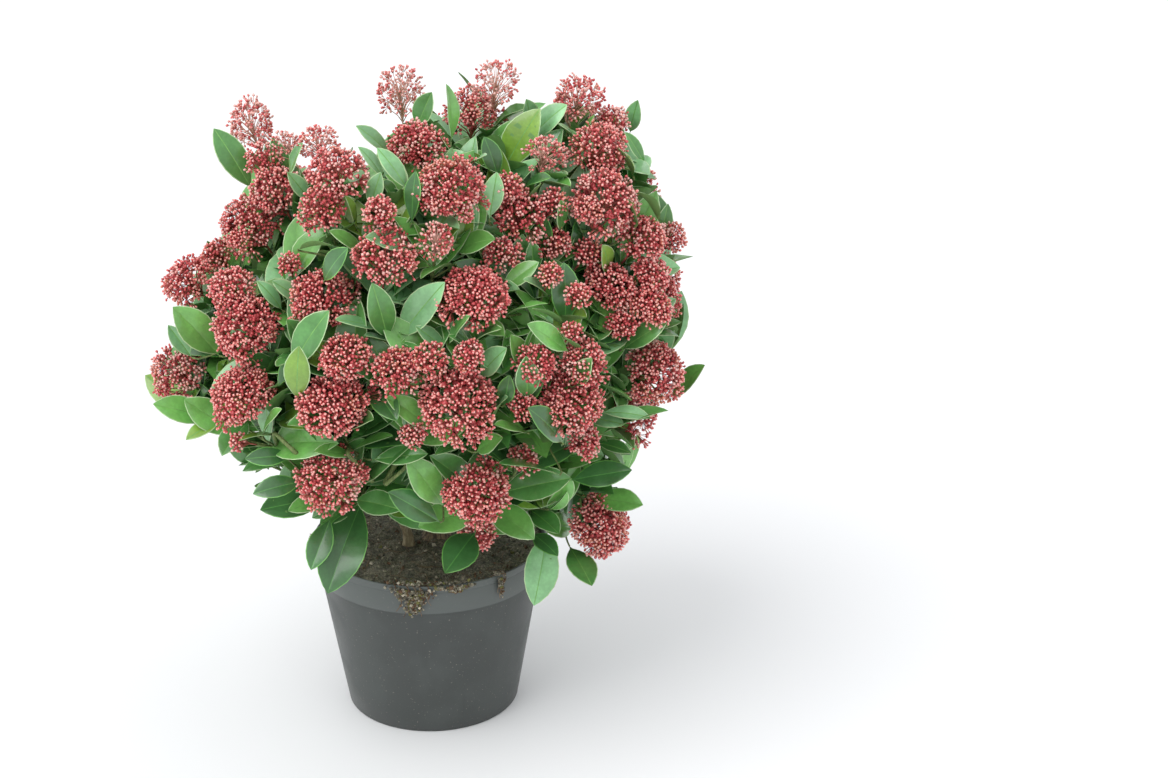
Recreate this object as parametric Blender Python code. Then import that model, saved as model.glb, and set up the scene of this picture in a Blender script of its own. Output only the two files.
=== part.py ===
"""A potted skimmia: a low, wide, many-stemmed shrub in a tapered nursery pot.

Metres, +Z up. The origin is the centre of the pot's flat underside, and -Y is the side
that the shrub shows best.
"""
import math

import bmesh
import bpy
import numpy as np
from mathutils import Vector, noise

# Clear space between pieces that touch
SEAT_GAP = 0.0003

# Pot: a tapered tub with a deep rim band that stands proud of the wall
POT_HEIGHT = 0.185
POT_FOOT_RADIUS = 0.090
POT_WALL_TOP_RADIUS = 0.1155
POT_BAND_RADIUS = 0.1185
POT_RIM_RADIUS = 0.1215
POT_BAND_HEIGHT = 0.033
POT_WALL = 0.0025
POT_FLOOR = 0.003
POT_EDGE = 0.0015
POT_SIDES = 48
DRAIN_HOLES = 6
DRAIN_RADIUS = 0.006
DRAIN_RING_RADIUS = 0.062
DRAIN_SIDES = 12

# Root ball: peaty compost that fills the pot, flat where the stems leave it
SOIL_LEVEL = 0.176
SOIL_FLAT_RADIUS = 0.052
SOIL_RINGS = 4
SOIL_UNEVEN = 0.005
SOIL_LUMP = 0.045

# Crown outline: wide square shoulders above the middle, a bowl below it
CROWN_MIDDLE = Vector((0.000, 0.000, 0.420))
CROWN_HALF_WIDTH = 0.258
CROWN_HALF_DEPTH = 0.236
CROWN_RISE = 0.234
CROWN_DROP = 0.192
SHOULDER_POWER = 3.4
BOWL_POWER = 2.1
CROWN_UNEVEN = 0.090
CROWN_LUMP = 0.060

# Leafless middle of the crown, where the boughs fan out, and the room kept over the pot
CORE_MIDDLE = Vector((0.000, 0.000, 0.310))
CORE_RADIUS = 0.088
CORE_HALF_HEIGHT = 0.165
POT_CLEAR_RADIUS = 0.131
POT_CLEAR_HEIGHT = 0.206

# Foliage masses: the middle of each one and how far its leaves reach from there
MASSES = {
    "top_left": (Vector((-0.116, 0.005, 0.560)), 0.090),
    "top_front": (Vector((-0.005, -0.098, 0.565)), 0.112),
    "top_right": (Vector((0.135, -0.010, 0.570)), 0.116),
    "top_back": (Vector((0.000, 0.105, 0.570)), 0.122),
    "left": (Vector((-0.180, -0.015, 0.425)), 0.098),
    "front_left": (Vector((-0.105, -0.150, 0.425)), 0.106),
    "front_right": (Vector((0.080, -0.155, 0.425)), 0.112),
    "right": (Vector((0.185, -0.035, 0.435)), 0.108),
    "back_right": (Vector((0.115, 0.140, 0.430)), 0.116),
    "back_left": (Vector((-0.110, 0.145, 0.430)), 0.114),
    "low_left": (Vector((-0.112, -0.098, 0.298)), 0.086),
    "low_front": (Vector((0.050, -0.150, 0.298)), 0.098),
    "low_right": (Vector((0.158, -0.055, 0.285)), 0.090),
    "low_back": (Vector((-0.005, 0.160, 0.310)), 0.112),
}
MASS_GAP = 0.004
MASS_ROUNDING = 0.006
MASS_DETAIL = 3
RAY_STEPS = 260

# Furthest shoot and leaf tips of a mass, past the crown's even outline
TIPS = {
    "top_left": [Vector((-0.200, 0.000, 0.622)), Vector((-0.164, 0.000, 0.650))],
    "top_front": [Vector((-0.020, -0.060, 0.672))],
    "top_right": [Vector((0.078, 0.000, 0.684)), Vector((0.158, 0.000, 0.674))],
    "top_back": [Vector((-0.020, 0.070, 0.676)), Vector((0.060, 0.140, 0.665))],
    "left": [Vector((-0.277, -0.020, 0.376)), Vector((-0.256, -0.030, 0.480)),
             Vector((-0.262, -0.040, 0.340)),
             Vector((-0.228, -0.060, 0.318))],
    "low_left": [Vector((-0.096, -0.145, 0.172)), Vector((-0.200, -0.080, 0.306))],
    "low_right": [Vector((0.117, -0.145, 0.166)), Vector((0.210, -0.060, 0.185))],
}
TIP_WIDTH = 0.040
TIP_POINT = 0.014

# Stems that leave the root ball: foot, radius there and root flare
MAIN_STEM_FOOT = Vector((0.006, 0.014, SOIL_LEVEL + SEAT_GAP))
MAIN_STEM_HEIGHT = 0.084
MAIN_STEM_LEAN = Vector((-0.006, -0.010, 0.0))
MAIN_STEM_RADIUS = 0.0105
MAIN_STEM_TOP_RADIUS = 0.0095
MAIN_STEM_BLUNT_FROM = 0.90
MAIN_STEM_BLUNT_SPAN = 0.115
ROOT_FLARE = 0.55
ROOT_FLARE_SHARE = 0.11
ROOT_RIDGES = 3
ROOT_RIDGE_DEPTH = 0.12
SIDE_STEMS = {
    "low_left": Vector((-0.022, -0.006, SOIL_LEVEL + SEAT_GAP)),
    "low_right": Vector((0.034, -0.002, SOIL_LEVEL + SEAT_GAP)),
}
SIDE_STEM_RADIUS = 0.0050
SIDE_STEM_RISE = 0.045
SIDE_STEM_LATER_RISE = 0.072
SIDE_STEM_SWING = 0.40

# Boughs: how high on the main stem each tier starts and how it swings out to its mass
TIER_HEIGHT = {"low": 0.030, "middle": 0.050, "top": 0.078}
TIER_SWING = {"low": 0.45, "middle": 0.24, "top": 0.14}
TIER_STAGGER = 0.007
TOP_TIER_FROM = 0.50
LOW_TIER_TO = 0.35
BOUGH_START_OFFSET = 0.0056
BOUGH_RADIUS = 0.0035
BOUGH_END_RADIUS = 0.0024
BOUGH_SEAT_DEPTH = 0.012
BOUGH_FIRST_CLIMB = 0.35
BOUGH_LATER_CLIMB = 0.80
BOUGH_FIRST_SWING = 0.6
BOUGH_LATER_SWING = 1.8
LIMB_SIDES = 8
LIMB_RINGS = 7
MAIN_STEM_SIDES = 14
MAIN_STEM_RINGS = 10


def clear_scene():
    """Take every object that is there out of the scene."""
    for item in list(bpy.data.objects):
        bpy.data.objects.remove(item, do_unlink=True)


def finish_material(name, colour, roughness):
    """Plain material of one colour and roughness."""
    material = bpy.data.materials.new(name)
    material.use_nodes = True
    shader = material.node_tree.nodes["Principled BSDF"]
    shader.inputs["Base Color"].default_value = (*colour, 1.0)
    shader.inputs["Roughness"].default_value = roughness
    shader.inputs["Metallic"].default_value = 0.0
    return material


def add_object(name, mesh, material):
    """Link a mesh to the scene as a named object with its material."""
    item = bpy.data.objects.new(name, mesh)
    bpy.context.scene.collection.objects.link(item)
    if material is not None:
        mesh.materials.append(material)
    return item


def mesh_from(name, bm, sharp_angle=math.radians(35)):
    """Turn a bmesh into a smooth-shaded mesh with its faces pointing out."""
    bmesh.ops.recalc_face_normals(bm, faces=bm.faces)
    mesh = bpy.data.meshes.new(name)
    bm.to_mesh(mesh)
    bm.free()
    mesh.shade_smooth()
    mesh.set_sharp_from_angle(angle=sharp_angle)
    return mesh


def hide_cutter(item):
    """Keep a cutting shape out of the model itself."""
    item.hide_render = True
    item.display_type = "WIRE"


def cut_away(item, cutter):
    """Cut one object with another and leave the cut live."""
    cut = item.modifiers.new("cut by " + cutter.name, "BOOLEAN")
    cut.operation = "DIFFERENCE"
    cut.solver = "EXACT"
    cut.object = cutter


def ring_of(bm, radius, height, sides):
    """One level ring of vertices about the vertical axis."""
    ring = []
    for side in range(sides):
        angle = 2 * math.pi * side / sides
        ring.append(bm.verts.new((radius * math.cos(angle), radius * math.sin(angle), height)))
    return ring


def bridge(bm, lower, upper):
    """Join two rings of the same count with a band of faces."""
    count = len(lower)
    for side in range(count):
        after = (side + 1) % count
        bm.faces.new((lower[side], lower[after], upper[after], upper[side]))


def pot_inner_profile(shrink):
    """Radius and height of the pot's inside from its floor up, drawn in by a clearance."""
    band_foot = POT_HEIGHT - POT_BAND_HEIGHT
    return [
        (POT_FOOT_RADIUS - POT_WALL - shrink, POT_FLOOR + shrink),
        (POT_WALL_TOP_RADIUS - POT_WALL - shrink, band_foot + shrink),
        (POT_BAND_RADIUS - POT_WALL - shrink, band_foot + POT_WALL + shrink),
        (POT_RIM_RADIUS - POT_WALL - shrink, POT_HEIGHT),
    ]


def make_pot(material):
    """The pot, one turned wall with a floor, with drain holes around its middle."""
    band_foot = POT_HEIGHT - POT_BAND_HEIGHT
    outer = [
        (POT_FOOT_RADIUS - POT_EDGE, 0.0),
        (POT_FOOT_RADIUS, POT_EDGE),
        (POT_WALL_TOP_RADIUS, band_foot),
        (POT_BAND_RADIUS, band_foot + POT_EDGE),
        (POT_RIM_RADIUS, POT_HEIGHT - POT_EDGE),
        (POT_RIM_RADIUS - POT_EDGE, POT_HEIGHT),
    ]
    bm = bmesh.new()
    rings = []
    for radius, height in outer + pot_inner_profile(0.0)[::-1]:
        rings.append(ring_of(bm, radius, height, POT_SIDES))
    for lower, upper in zip(rings, rings[1:]):
        bridge(bm, lower, upper)
    bm.faces.new(rings[0][::-1])
    bm.faces.new(rings[-1])
    pot = add_object("pot", mesh_from("pot", bm), material)
    holes = bmesh.new()
    for hole in range(DRAIN_HOLES):
        angle = 2 * math.pi * (hole + 0.5) / DRAIN_HOLES
        made = bmesh.ops.create_cone(holes, cap_ends=True, segments=DRAIN_SIDES, radius1=DRAIN_RADIUS,
                                     radius2=DRAIN_RADIUS, depth=4 * POT_FLOOR)
        place = Vector((math.cos(angle), math.sin(angle), 0.0)) * DRAIN_RING_RADIUS
        bmesh.ops.translate(holes, verts=made["verts"], vec=place)
    cutter = add_object("pot_drain_cutter", mesh_from("pot_drain_cutter", holes), None)
    hide_cutter(cutter)
    cut_away(pot, cutter)


def soil_height(x, y, radius):
    """Height of the root ball's top: flat under the stems and uneven towards the rim."""
    if radius <= SOIL_FLAT_RADIUS:
        return SOIL_LEVEL
    share = min(1.0, (radius - SOIL_FLAT_RADIUS) / SOIL_LUMP)
    lump = noise.noise(Vector((x, y, 0.0)) / SOIL_LUMP)
    return SOIL_LEVEL + SOIL_UNEVEN * share * lump


def make_root_ball(material):
    """The root ball, turned to fit inside the pot, with an uneven top."""
    floor, shelf, band, rim = pot_inner_profile(SEAT_GAP)
    climb = (SOIL_LEVEL - SOIL_UNEVEN - band[1]) / (rim[1] - band[1])
    edge_radius = band[0] + (rim[0] - band[0]) * climb
    bm = bmesh.new()
    rings = []
    for radius, height in (floor, shelf, band):
        rings.append(ring_of(bm, radius, height, POT_SIDES))
    for level in range(SOIL_RINGS + 1):
        radius = edge_radius + (SOIL_FLAT_RADIUS - edge_radius) * level / SOIL_RINGS
        ring = ring_of(bm, radius, SOIL_LEVEL, POT_SIDES)
        for vert in ring:
            vert.co.z = soil_height(vert.co.x, vert.co.y, radius)
        rings.append(ring)
    for lower, upper in zip(rings, rings[1:]):
        bridge(bm, lower, upper)
    bm.faces.new(rings[0][::-1])
    bm.faces.new(rings[-1])
    add_object("root_ball", mesh_from("root_ball", bm), material)


def bezier(points, t):
    """Point and direction on a cubic curve through its four control points."""
    a, b, c, d = points
    s = 1 - t
    place = a * s ** 3 + b * (3 * s * s * t) + c * (3 * s * t * t) + d * t ** 3
    along = (b - a) * (s * s) + (c - b) * (2 * s * t) + (d - c) * (t * t)
    return place, along.normalized()


def sweep_limb(name, points, radius_at, sides, rings, last=1.0):
    """One closed limb swept along a curve, with radius_at(share, angle) about it."""
    bm = bmesh.new()
    across = Vector((1.0, 0.0, 0.0))
    loops = []
    for ring in range(rings + 1):
        share = ring / rings
        centre, along = bezier(points, share * last)
        across = (across - along * across.dot(along)).normalized()
        beside = along.cross(across)
        loop = []
        for side in range(sides):
            angle = 2 * math.pi * side / sides
            outward = across * math.cos(angle) + beside * math.sin(angle)
            loop.append(bm.verts.new(centre + outward * radius_at(share, angle)))
        loops.append(loop)
    for lower, upper in zip(loops, loops[1:]):
        bridge(bm, lower, upper)
    bm.faces.new(loops[0][::-1])
    bm.faces.new(loops[-1])
    return mesh_from(name, bm)


def flared_radius(foot_radius, top_radius, ridges):
    """Radius of a stem that tapers upwards and flares into ridged roots at its foot."""
    def radius_at(share, angle):
        body = foot_radius + (top_radius - foot_radius) * share
        spread = ROOT_FLARE * math.exp(-share / ROOT_FLARE_SHARE)
        ridge = 1 + ROOT_RIDGE_DEPTH * math.cos(ridges * angle)
        return body * (1 + spread * ridge)
    return radius_at


def inflated_copy(item, by):
    """Wire copy of an object, grown along its normals, for cutting seats."""
    mesh = item.data.copy()
    mesh.materials.clear()
    normals = [vert.normal.copy() for vert in mesh.vertices]
    for vert, normal in zip(mesh.vertices, normals):
        vert.co += normal * by
    copy = add_object(item.name + "_seat_cutter", mesh, None)
    hide_cutter(copy)
    return copy


def make_main_stem(material):
    """The short main stem: a flat cut at soil level, a root flare and a blunt fork."""
    foot = MAIN_STEM_FOOT
    rise = Vector((0.0, 0.0, MAIN_STEM_HEIGHT))
    fork = foot + rise + MAIN_STEM_LEAN
    points = (foot, foot + rise / 3, foot + rise * 2 / 3 + MAIN_STEM_LEAN / 2, fork)
    flare = flared_radius(MAIN_STEM_RADIUS, MAIN_STEM_TOP_RADIUS, ROOT_RIDGES)

    def radius_at(share, angle):
        over = max(0.0, share - MAIN_STEM_BLUNT_FROM) / MAIN_STEM_BLUNT_SPAN
        return flare(share, angle) * math.sqrt(1 - over ** 2)

    mesh = sweep_limb("main_stem", points, radius_at, MAIN_STEM_SIDES, MAIN_STEM_RINGS)
    return add_object("main_stem", mesh, material), points


def crown_reach(directions):
    """Distance from the crown's middle to its even outline along unit vectors."""
    across = np.hypot(directions[:, 0] / CROWN_HALF_WIDTH, directions[:, 1] / CROWN_HALF_DEPTH)
    upward = directions[:, 2]
    power = np.where(upward > 0, SHOULDER_POWER, BOWL_POWER)
    height = np.abs(upward) / np.where(upward > 0, CROWN_RISE, CROWN_DROP)
    return (across ** power + height ** power) ** (-1 / power)


def lumpiness(directions):
    """Uneven swelling of the outline, from smooth noise along unit vectors."""
    step = CROWN_HALF_WIDTH / CROWN_LUMP
    return np.array([noise.noise(Vector(direction) * step) for direction in directions])


def tip_room(places, centre, tip):
    """Room inside a tapering finger of foliage from a mass's centre to a furthest tip."""
    axis = np.array(tip - centre)
    length = np.linalg.norm(axis)
    axis = axis / length
    offset = places - np.array(centre)
    along = np.clip(offset @ axis, 0.0, length - TIP_POINT)
    away = np.linalg.norm(offset - along[:, None] * axis, axis=1)
    width = TIP_WIDTH + (TIP_POINT - TIP_WIDTH) * along / length
    return width - away


def mass_room(name, places, swell):
    """Smoothly joined clearance of places inside one mass: positive inside, in metres."""
    centre, leaf_reach = MASSES[name]
    offset = places - np.array(CROWN_MIDDLE)
    distance = np.linalg.norm(offset, axis=1)
    outline = crown_reach(offset / distance[:, None]) * (1 + CROWN_UNEVEN * swell) - distance
    own = leaf_reach * (1 + CROWN_UNEVEN * swell) - np.linalg.norm(places - np.array(centre), axis=1)
    outline = np.minimum(outline, own)
    for tip in TIPS.get(name, []):
        outline = np.maximum(outline, tip_room(places, centre, tip))
    core = (places - np.array(CORE_MIDDLE)) / np.array((CORE_RADIUS, CORE_RADIUS, CORE_HALF_HEIGHT))
    rooms = [outline, (np.linalg.norm(core, axis=1) - 1) * CORE_RADIUS]
    beside_pot = np.hypot(places[:, 0], places[:, 1]) - POT_CLEAR_RADIUS
    rooms.append(np.maximum(beside_pot, places[:, 2] - POT_CLEAR_HEIGHT))
    for other, (middle, _) in MASSES.items():
        if other == name:
            continue
        between = middle - centre
        halfway = np.array((centre + middle) / 2)
        toward = np.array(between.normalized())
        rooms.append((halfway - places) @ toward - MASS_GAP / 2)
    stacked = -np.array(rooms) / MASS_ROUNDING
    return -MASS_ROUNDING * np.log(np.exp(stacked).sum(axis=0))


def make_mass(name, material):
    """One foliage mass: a ball whose every point is pushed out until its room ends."""
    bm = bmesh.new()
    bmesh.ops.create_icosphere(bm, subdivisions=MASS_DETAIL, radius=1.0)
    directions = np.array([vert.co.normalized() for vert in bm.verts])
    middle, leaf_reach = MASSES[name]
    centre = np.array(middle)
    out = centre + directions * leaf_reach - np.array(CROWN_MIDDLE)
    swell = lumpiness(out / np.linalg.norm(out, axis=1)[:, None])
    tip_reaches = [(tip - middle).length for tip in TIPS.get(name, [])]
    furthest = max([leaf_reach * (1 + CROWN_UNEVEN)] + tip_reaches)
    reach = np.zeros(len(directions))
    growing = np.ones(len(directions), dtype=bool)
    for step in range(1, RAY_STEPS + 1):
        distance = furthest * step / RAY_STEPS
        growing &= mass_room(name, centre + directions * distance, swell) > 0
        reach[growing] = distance
    for vert, direction, length in zip(bm.verts, directions, reach):
        vert.co = Vector(centre + direction * length)
    mesh = mesh_from("foliage_" + name, bm, math.radians(180))
    return add_object("foliage_" + name, mesh, material)


def seat_share(name, points):
    """Share of a bough's curve at which it is well inside its mass."""
    for step in range(1, RAY_STEPS + 1):
        share = step / RAY_STEPS
        place = np.array([bezier(points, share)[0]])
        if mass_room(name, place, np.zeros(1))[0] > BOUGH_SEAT_DEPTH:
            return share
    raise ValueError("the bough never enters its mass: " + name)


def tier_of(name):
    """Tier of a mass, from the height of its centre."""
    height = MASSES[name][0].z
    if height > TOP_TIER_FROM:
        return "top"
    return "low" if height < LOW_TIER_TO else "middle"


def make_bough(name, order, stem_points, cutters, material):
    """One bough from the main stem to a mass, cut to an even seat at both ends."""
    tier = tier_of(name)
    stagger = TIER_STAGGER * (order % 2)
    share = (TIER_HEIGHT[tier] + stagger) / MAIN_STEM_HEIGHT
    start, _ = bezier(stem_points, min(1.0, share))
    end, _ = MASSES[name]
    level = Vector((end.x - start.x, end.y - start.y, 0.0))
    climb = Vector((0.0, 0.0, end.z - start.z))
    start = start + level.normalized() * BOUGH_START_OFFSET
    swing = TIER_SWING[tier]
    points = (start,
              start + level * swing * BOUGH_FIRST_SWING + climb * BOUGH_FIRST_CLIMB,
              start + level * swing * BOUGH_LATER_SWING + climb * BOUGH_LATER_CLIMB,
              end)

    def radius_at(along, _angle):
        return BOUGH_RADIUS + (BOUGH_END_RADIUS - BOUGH_RADIUS) * along

    last = seat_share(name, points)
    mesh = sweep_limb("bough_" + name, points, radius_at, LIMB_SIDES, LIMB_RINGS, last)
    bough = add_object("bough_" + name, mesh, material)
    for cutter in cutters:
        cut_away(bough, cutter)


def make_side_stem(name, cutters, material):
    """A thinner stem with its own foot on the root ball, out to a low mass."""
    foot = SIDE_STEMS[name]
    end, _ = MASSES[name]
    level = Vector((end.x - foot.x, end.y - foot.y, 0.0))
    points = (foot,
              foot + Vector((0.0, 0.0, SIDE_STEM_RISE)),
              foot + level * SIDE_STEM_SWING + Vector((0.0, 0.0, SIDE_STEM_LATER_RISE)),
              end)
    radius_at = flared_radius(SIDE_STEM_RADIUS, BOUGH_END_RADIUS, ROOT_RIDGES)
    last = seat_share(name, points)
    mesh = sweep_limb("side_stem_" + name, points, radius_at, LIMB_SIDES, LIMB_RINGS + 2, last)
    stem = add_object("side_stem_" + name, mesh, material)
    for cutter in cutters:
        cut_away(stem, cutter)


def build():
    """Make the pot, the root ball, the stems, the boughs and the foliage masses."""
    clear_scene()
    plastic = finish_material("grey pot plastic", (0.105, 0.125, 0.130), 0.55)
    compost = finish_material("dark compost", (0.030, 0.021, 0.014), 0.95)
    bark = finish_material("grey brown bark", (0.180, 0.125, 0.070), 0.80)
    young = finish_material("green brown bark", (0.160, 0.170, 0.055), 0.65)
    leaf = finish_material("glossy leaf green", (0.045, 0.150, 0.045), 0.40)
    make_pot(plastic)
    make_root_ball(compost)
    main_stem, stem_points = make_main_stem(bark)
    stem_cutter = inflated_copy(main_stem, SEAT_GAP)
    for order, name in enumerate(MASSES):
        mass = make_mass(name, leaf)
        seat_cutter = inflated_copy(mass, SEAT_GAP)
        if name in SIDE_STEMS:
            make_side_stem(name, [seat_cutter], bark)
        else:
            make_bough(name, order, stem_points, [stem_cutter, seat_cutter], young)


build()
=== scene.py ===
"""A potted skimmia in bud, finished around its packed model.

The frame holds the pot, root ball, stems, boughs and foliage masses. Each operator here puts a finished
piece, or a group of like pieces, in place of those nodes: a turned pot, peat with roots and moss, barked
limbs, and the twigs, leaves and flower heads that grow on from the boughs inside the masses.
"""

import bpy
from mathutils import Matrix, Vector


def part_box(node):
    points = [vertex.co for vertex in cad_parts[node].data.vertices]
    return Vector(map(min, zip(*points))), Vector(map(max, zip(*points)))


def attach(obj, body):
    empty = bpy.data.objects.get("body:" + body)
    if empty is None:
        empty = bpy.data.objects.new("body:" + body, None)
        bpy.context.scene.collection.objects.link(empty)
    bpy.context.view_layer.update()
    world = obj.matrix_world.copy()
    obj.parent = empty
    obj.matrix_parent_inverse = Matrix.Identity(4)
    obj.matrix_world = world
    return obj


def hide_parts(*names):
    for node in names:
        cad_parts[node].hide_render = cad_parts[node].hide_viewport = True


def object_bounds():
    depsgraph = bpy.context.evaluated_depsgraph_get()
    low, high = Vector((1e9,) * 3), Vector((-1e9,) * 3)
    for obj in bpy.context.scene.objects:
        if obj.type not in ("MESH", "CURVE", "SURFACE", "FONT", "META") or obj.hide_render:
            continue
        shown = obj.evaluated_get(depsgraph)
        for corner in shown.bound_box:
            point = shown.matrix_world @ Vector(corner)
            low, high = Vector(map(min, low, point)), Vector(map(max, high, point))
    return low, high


bl_info = {
    "name": "Potted skimmia",
    "version": (1, 0, 0),
    "blender": (4, 5, 0),
    "location": "3D View > Sidebar > Skimmia",
    "description": "Finishes a skimmia in its pot around the packed model",
    "category": "Object",
}

import math

import bmesh
import bpy
import numpy as np
from bpy.props import FloatProperty, FloatVectorProperty, IntProperty, PointerProperty
from mathutils import Vector, noise
from mathutils.bvhtree import BVHTree

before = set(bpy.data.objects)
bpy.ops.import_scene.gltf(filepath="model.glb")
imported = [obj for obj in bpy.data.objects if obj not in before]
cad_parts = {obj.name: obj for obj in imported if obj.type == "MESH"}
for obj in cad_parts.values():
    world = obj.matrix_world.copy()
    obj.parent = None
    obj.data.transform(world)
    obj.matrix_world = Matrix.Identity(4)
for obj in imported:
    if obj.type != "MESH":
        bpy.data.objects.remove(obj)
CAD_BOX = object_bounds()

# The photograph's view: its size in pixels, and the camera that it fixes
IMAGE_WIDTH = 1168
IMAGE_HEIGHT = 778
FOCAL_PIXELS = 2450.0
SENSOR_WIDTH_MM = 36.0
CAMERA_PLACE = np.array([0.161, -2.310, 1.303])
CAMERA_PITCH = math.radians(22.44)
SIGHT = np.array([0.0, math.cos(CAMERA_PITCH), -math.sin(CAMERA_PITCH)])
SIGHT_RIGHT = np.array([1.0, 0.0, 0.0])
SIGHT_DOWN = np.cross(SIGHT, SIGHT_RIGHT)
UP = np.array([0.0, 0.0, 1.0])
GOLDEN_ANGLE = math.pi * (3.0 - math.sqrt(5.0))

# Foliage masses: middle of each, which its bough aims at, and the zone whose pieces stand for it
MASSES = {
    "top_left": ((-0.116, 0.005, 0.560), "top"),
    "top_front": ((-0.005, -0.098, 0.565), "top"),
    "top_right": ((0.135, -0.010, 0.570), "top"),
    "top_back": ((0.000, 0.105, 0.570), "top"),
    "left": ((-0.180, -0.015, 0.425), "left"),
    "front_left": ((-0.105, -0.150, 0.425), "left"),
    "front_right": ((0.080, -0.155, 0.425), "right"),
    "right": ((0.185, -0.035, 0.435), "right"),
    "back_right": ((0.115, 0.140, 0.430), "back"),
    "back_left": ((-0.110, 0.145, 0.430), "back"),
    "low_left": ((-0.112, -0.098, 0.298), "low"),
    "low_front": ((0.050, -0.150, 0.298), "low"),
    "low_right": ((0.158, -0.055, 0.285), "low"),
    "low_back": ((-0.005, 0.160, 0.310), "low"),
}
ZONES = ("top", "left", "right", "back", "low")
CROWN_HEART = np.array([0.0, 0.0, 0.400])
CROWN_ROOT = np.array([0.0, 0.0, 0.290])
LOW_HEADS_BELOW = 0.34

# Stems and boughs, as the construction has them
STEM_FOOT = np.array([0.006, 0.014, 0.1763])
STEM_HEIGHT = 0.084
STEM_LEAN = np.array([-0.006, -0.010, 0.0])
STEM_RADIUS = 0.0105
STEM_TOP_RADIUS = 0.0095
STEM_BLUNT_FROM = 0.90
ROOT_FLARE = 0.55
ROOT_FLARE_SHARE = 0.11
ROOT_RIDGES = 3
ROOT_RIDGE_DEPTH = 0.12
SIDE_STEMS = {"low_left": (-0.022, -0.006), "low_right": (0.034, -0.002)}
SIDE_STEM_RADIUS = 0.0050
SIDE_STEM_RISE = 0.045
SIDE_STEM_LATER_RISE = 0.072
SIDE_STEM_SWING = 0.40
TIER_HEIGHT = {"low": 0.030, "middle": 0.050, "top": 0.078}
TIER_SWING = {"low": 0.45, "middle": 0.24, "top": 0.14}
TIER_STAGGER = 0.007
TOP_TIER_FROM = 0.50
LOW_TIER_TO = 0.35
BOUGH_OFFSET = 0.0056
BOUGH_RADIUS = 0.0035
BOUGH_END_RADIUS = 0.0024
FIRST_CLIMB = 0.35
LATER_CLIMB = 0.80
FIRST_SWING = 0.6
LATER_SWING = 1.8

# Flower heads that the photograph shows: column, row and width in pixels, and how open the head is,
# from 0, a tight dome, to 1, a loose spire with the sky between its branches
SEEN_HEADS = (
    (251, 120, 48, 0.8), (287, 143, 26, 0.8), (318, 140, 36, 0.8), (400, 88, 47, 0.9),
    (496, 78, 42, 1.0), (578, 95, 44, 0.7), (263, 158, 34, 0.5), (277, 190, 56, 0.3),
    (337, 174, 56, 0.3), (255, 224, 62, 0.3), (322, 208, 45, 0.4), (380, 211, 35, 0.5),
    (218, 252, 32, 0.5), (191, 281, 54, 0.2), (234, 289, 50, 0.2), (247, 328, 76, 0.1),
    (417, 147, 56, 0.15), (449, 190, 67, 0.25), (437, 238, 34, 0.6), (472, 110, 50, 0.5),
    (544, 152, 36, 0.6), (508, 185, 27, 0.5), (518, 214, 51, 0.35), (502, 254, 36, 0.4),
    (554, 245, 36, 0.3), (550, 274, 28, 0.3), (552, 201, 28, 0.4), (384, 256, 60, 0.3),
    (322, 296, 63, 0.2), (475, 298, 66, 0.05), (290, 262, 24, 0.5), (179, 370, 54, 0.45),
    (243, 396, 66, 0.05), (177, 402, 20, 0.6), (239, 440, 20, 0.5), (346, 357, 50, 0.2),
    (333, 407, 72, 0.05), (397, 369, 48, 0.25), (430, 358, 34, 0.3), (470, 355, 34, 0.3),
    (458, 402, 82, 0.15), (413, 431, 28, 0.5), (330, 476, 64, 0.2), (476, 491, 64, 0.1),
    (478, 530, 34, 0.3), (523, 456, 30, 0.5), (568, 400, 68, 0.05), (522, 404, 30, 0.3),
    (583, 440, 38, 0.3), (536, 362, 38, 0.3), (582, 360, 46, 0.3), (599, 527, 64, 0.1),
    (597, 150, 58, 0.4), (611, 121, 36, 0.5), (602, 203, 72, 0.3), (587, 253, 30, 0.3),
    (611, 286, 54, 0.15), (577, 294, 26, 0.3), (640, 240, 50, 0.2), (669, 238, 34, 0.25),
    (650, 274, 40, 0.2), (651, 308, 44, 0.1), (620, 326, 34, 0.3), (571, 330, 20, 0.5),
    (652, 369, 64, 0.1),
)
SEEN_UP_TO_COLUMN = 640

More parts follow.
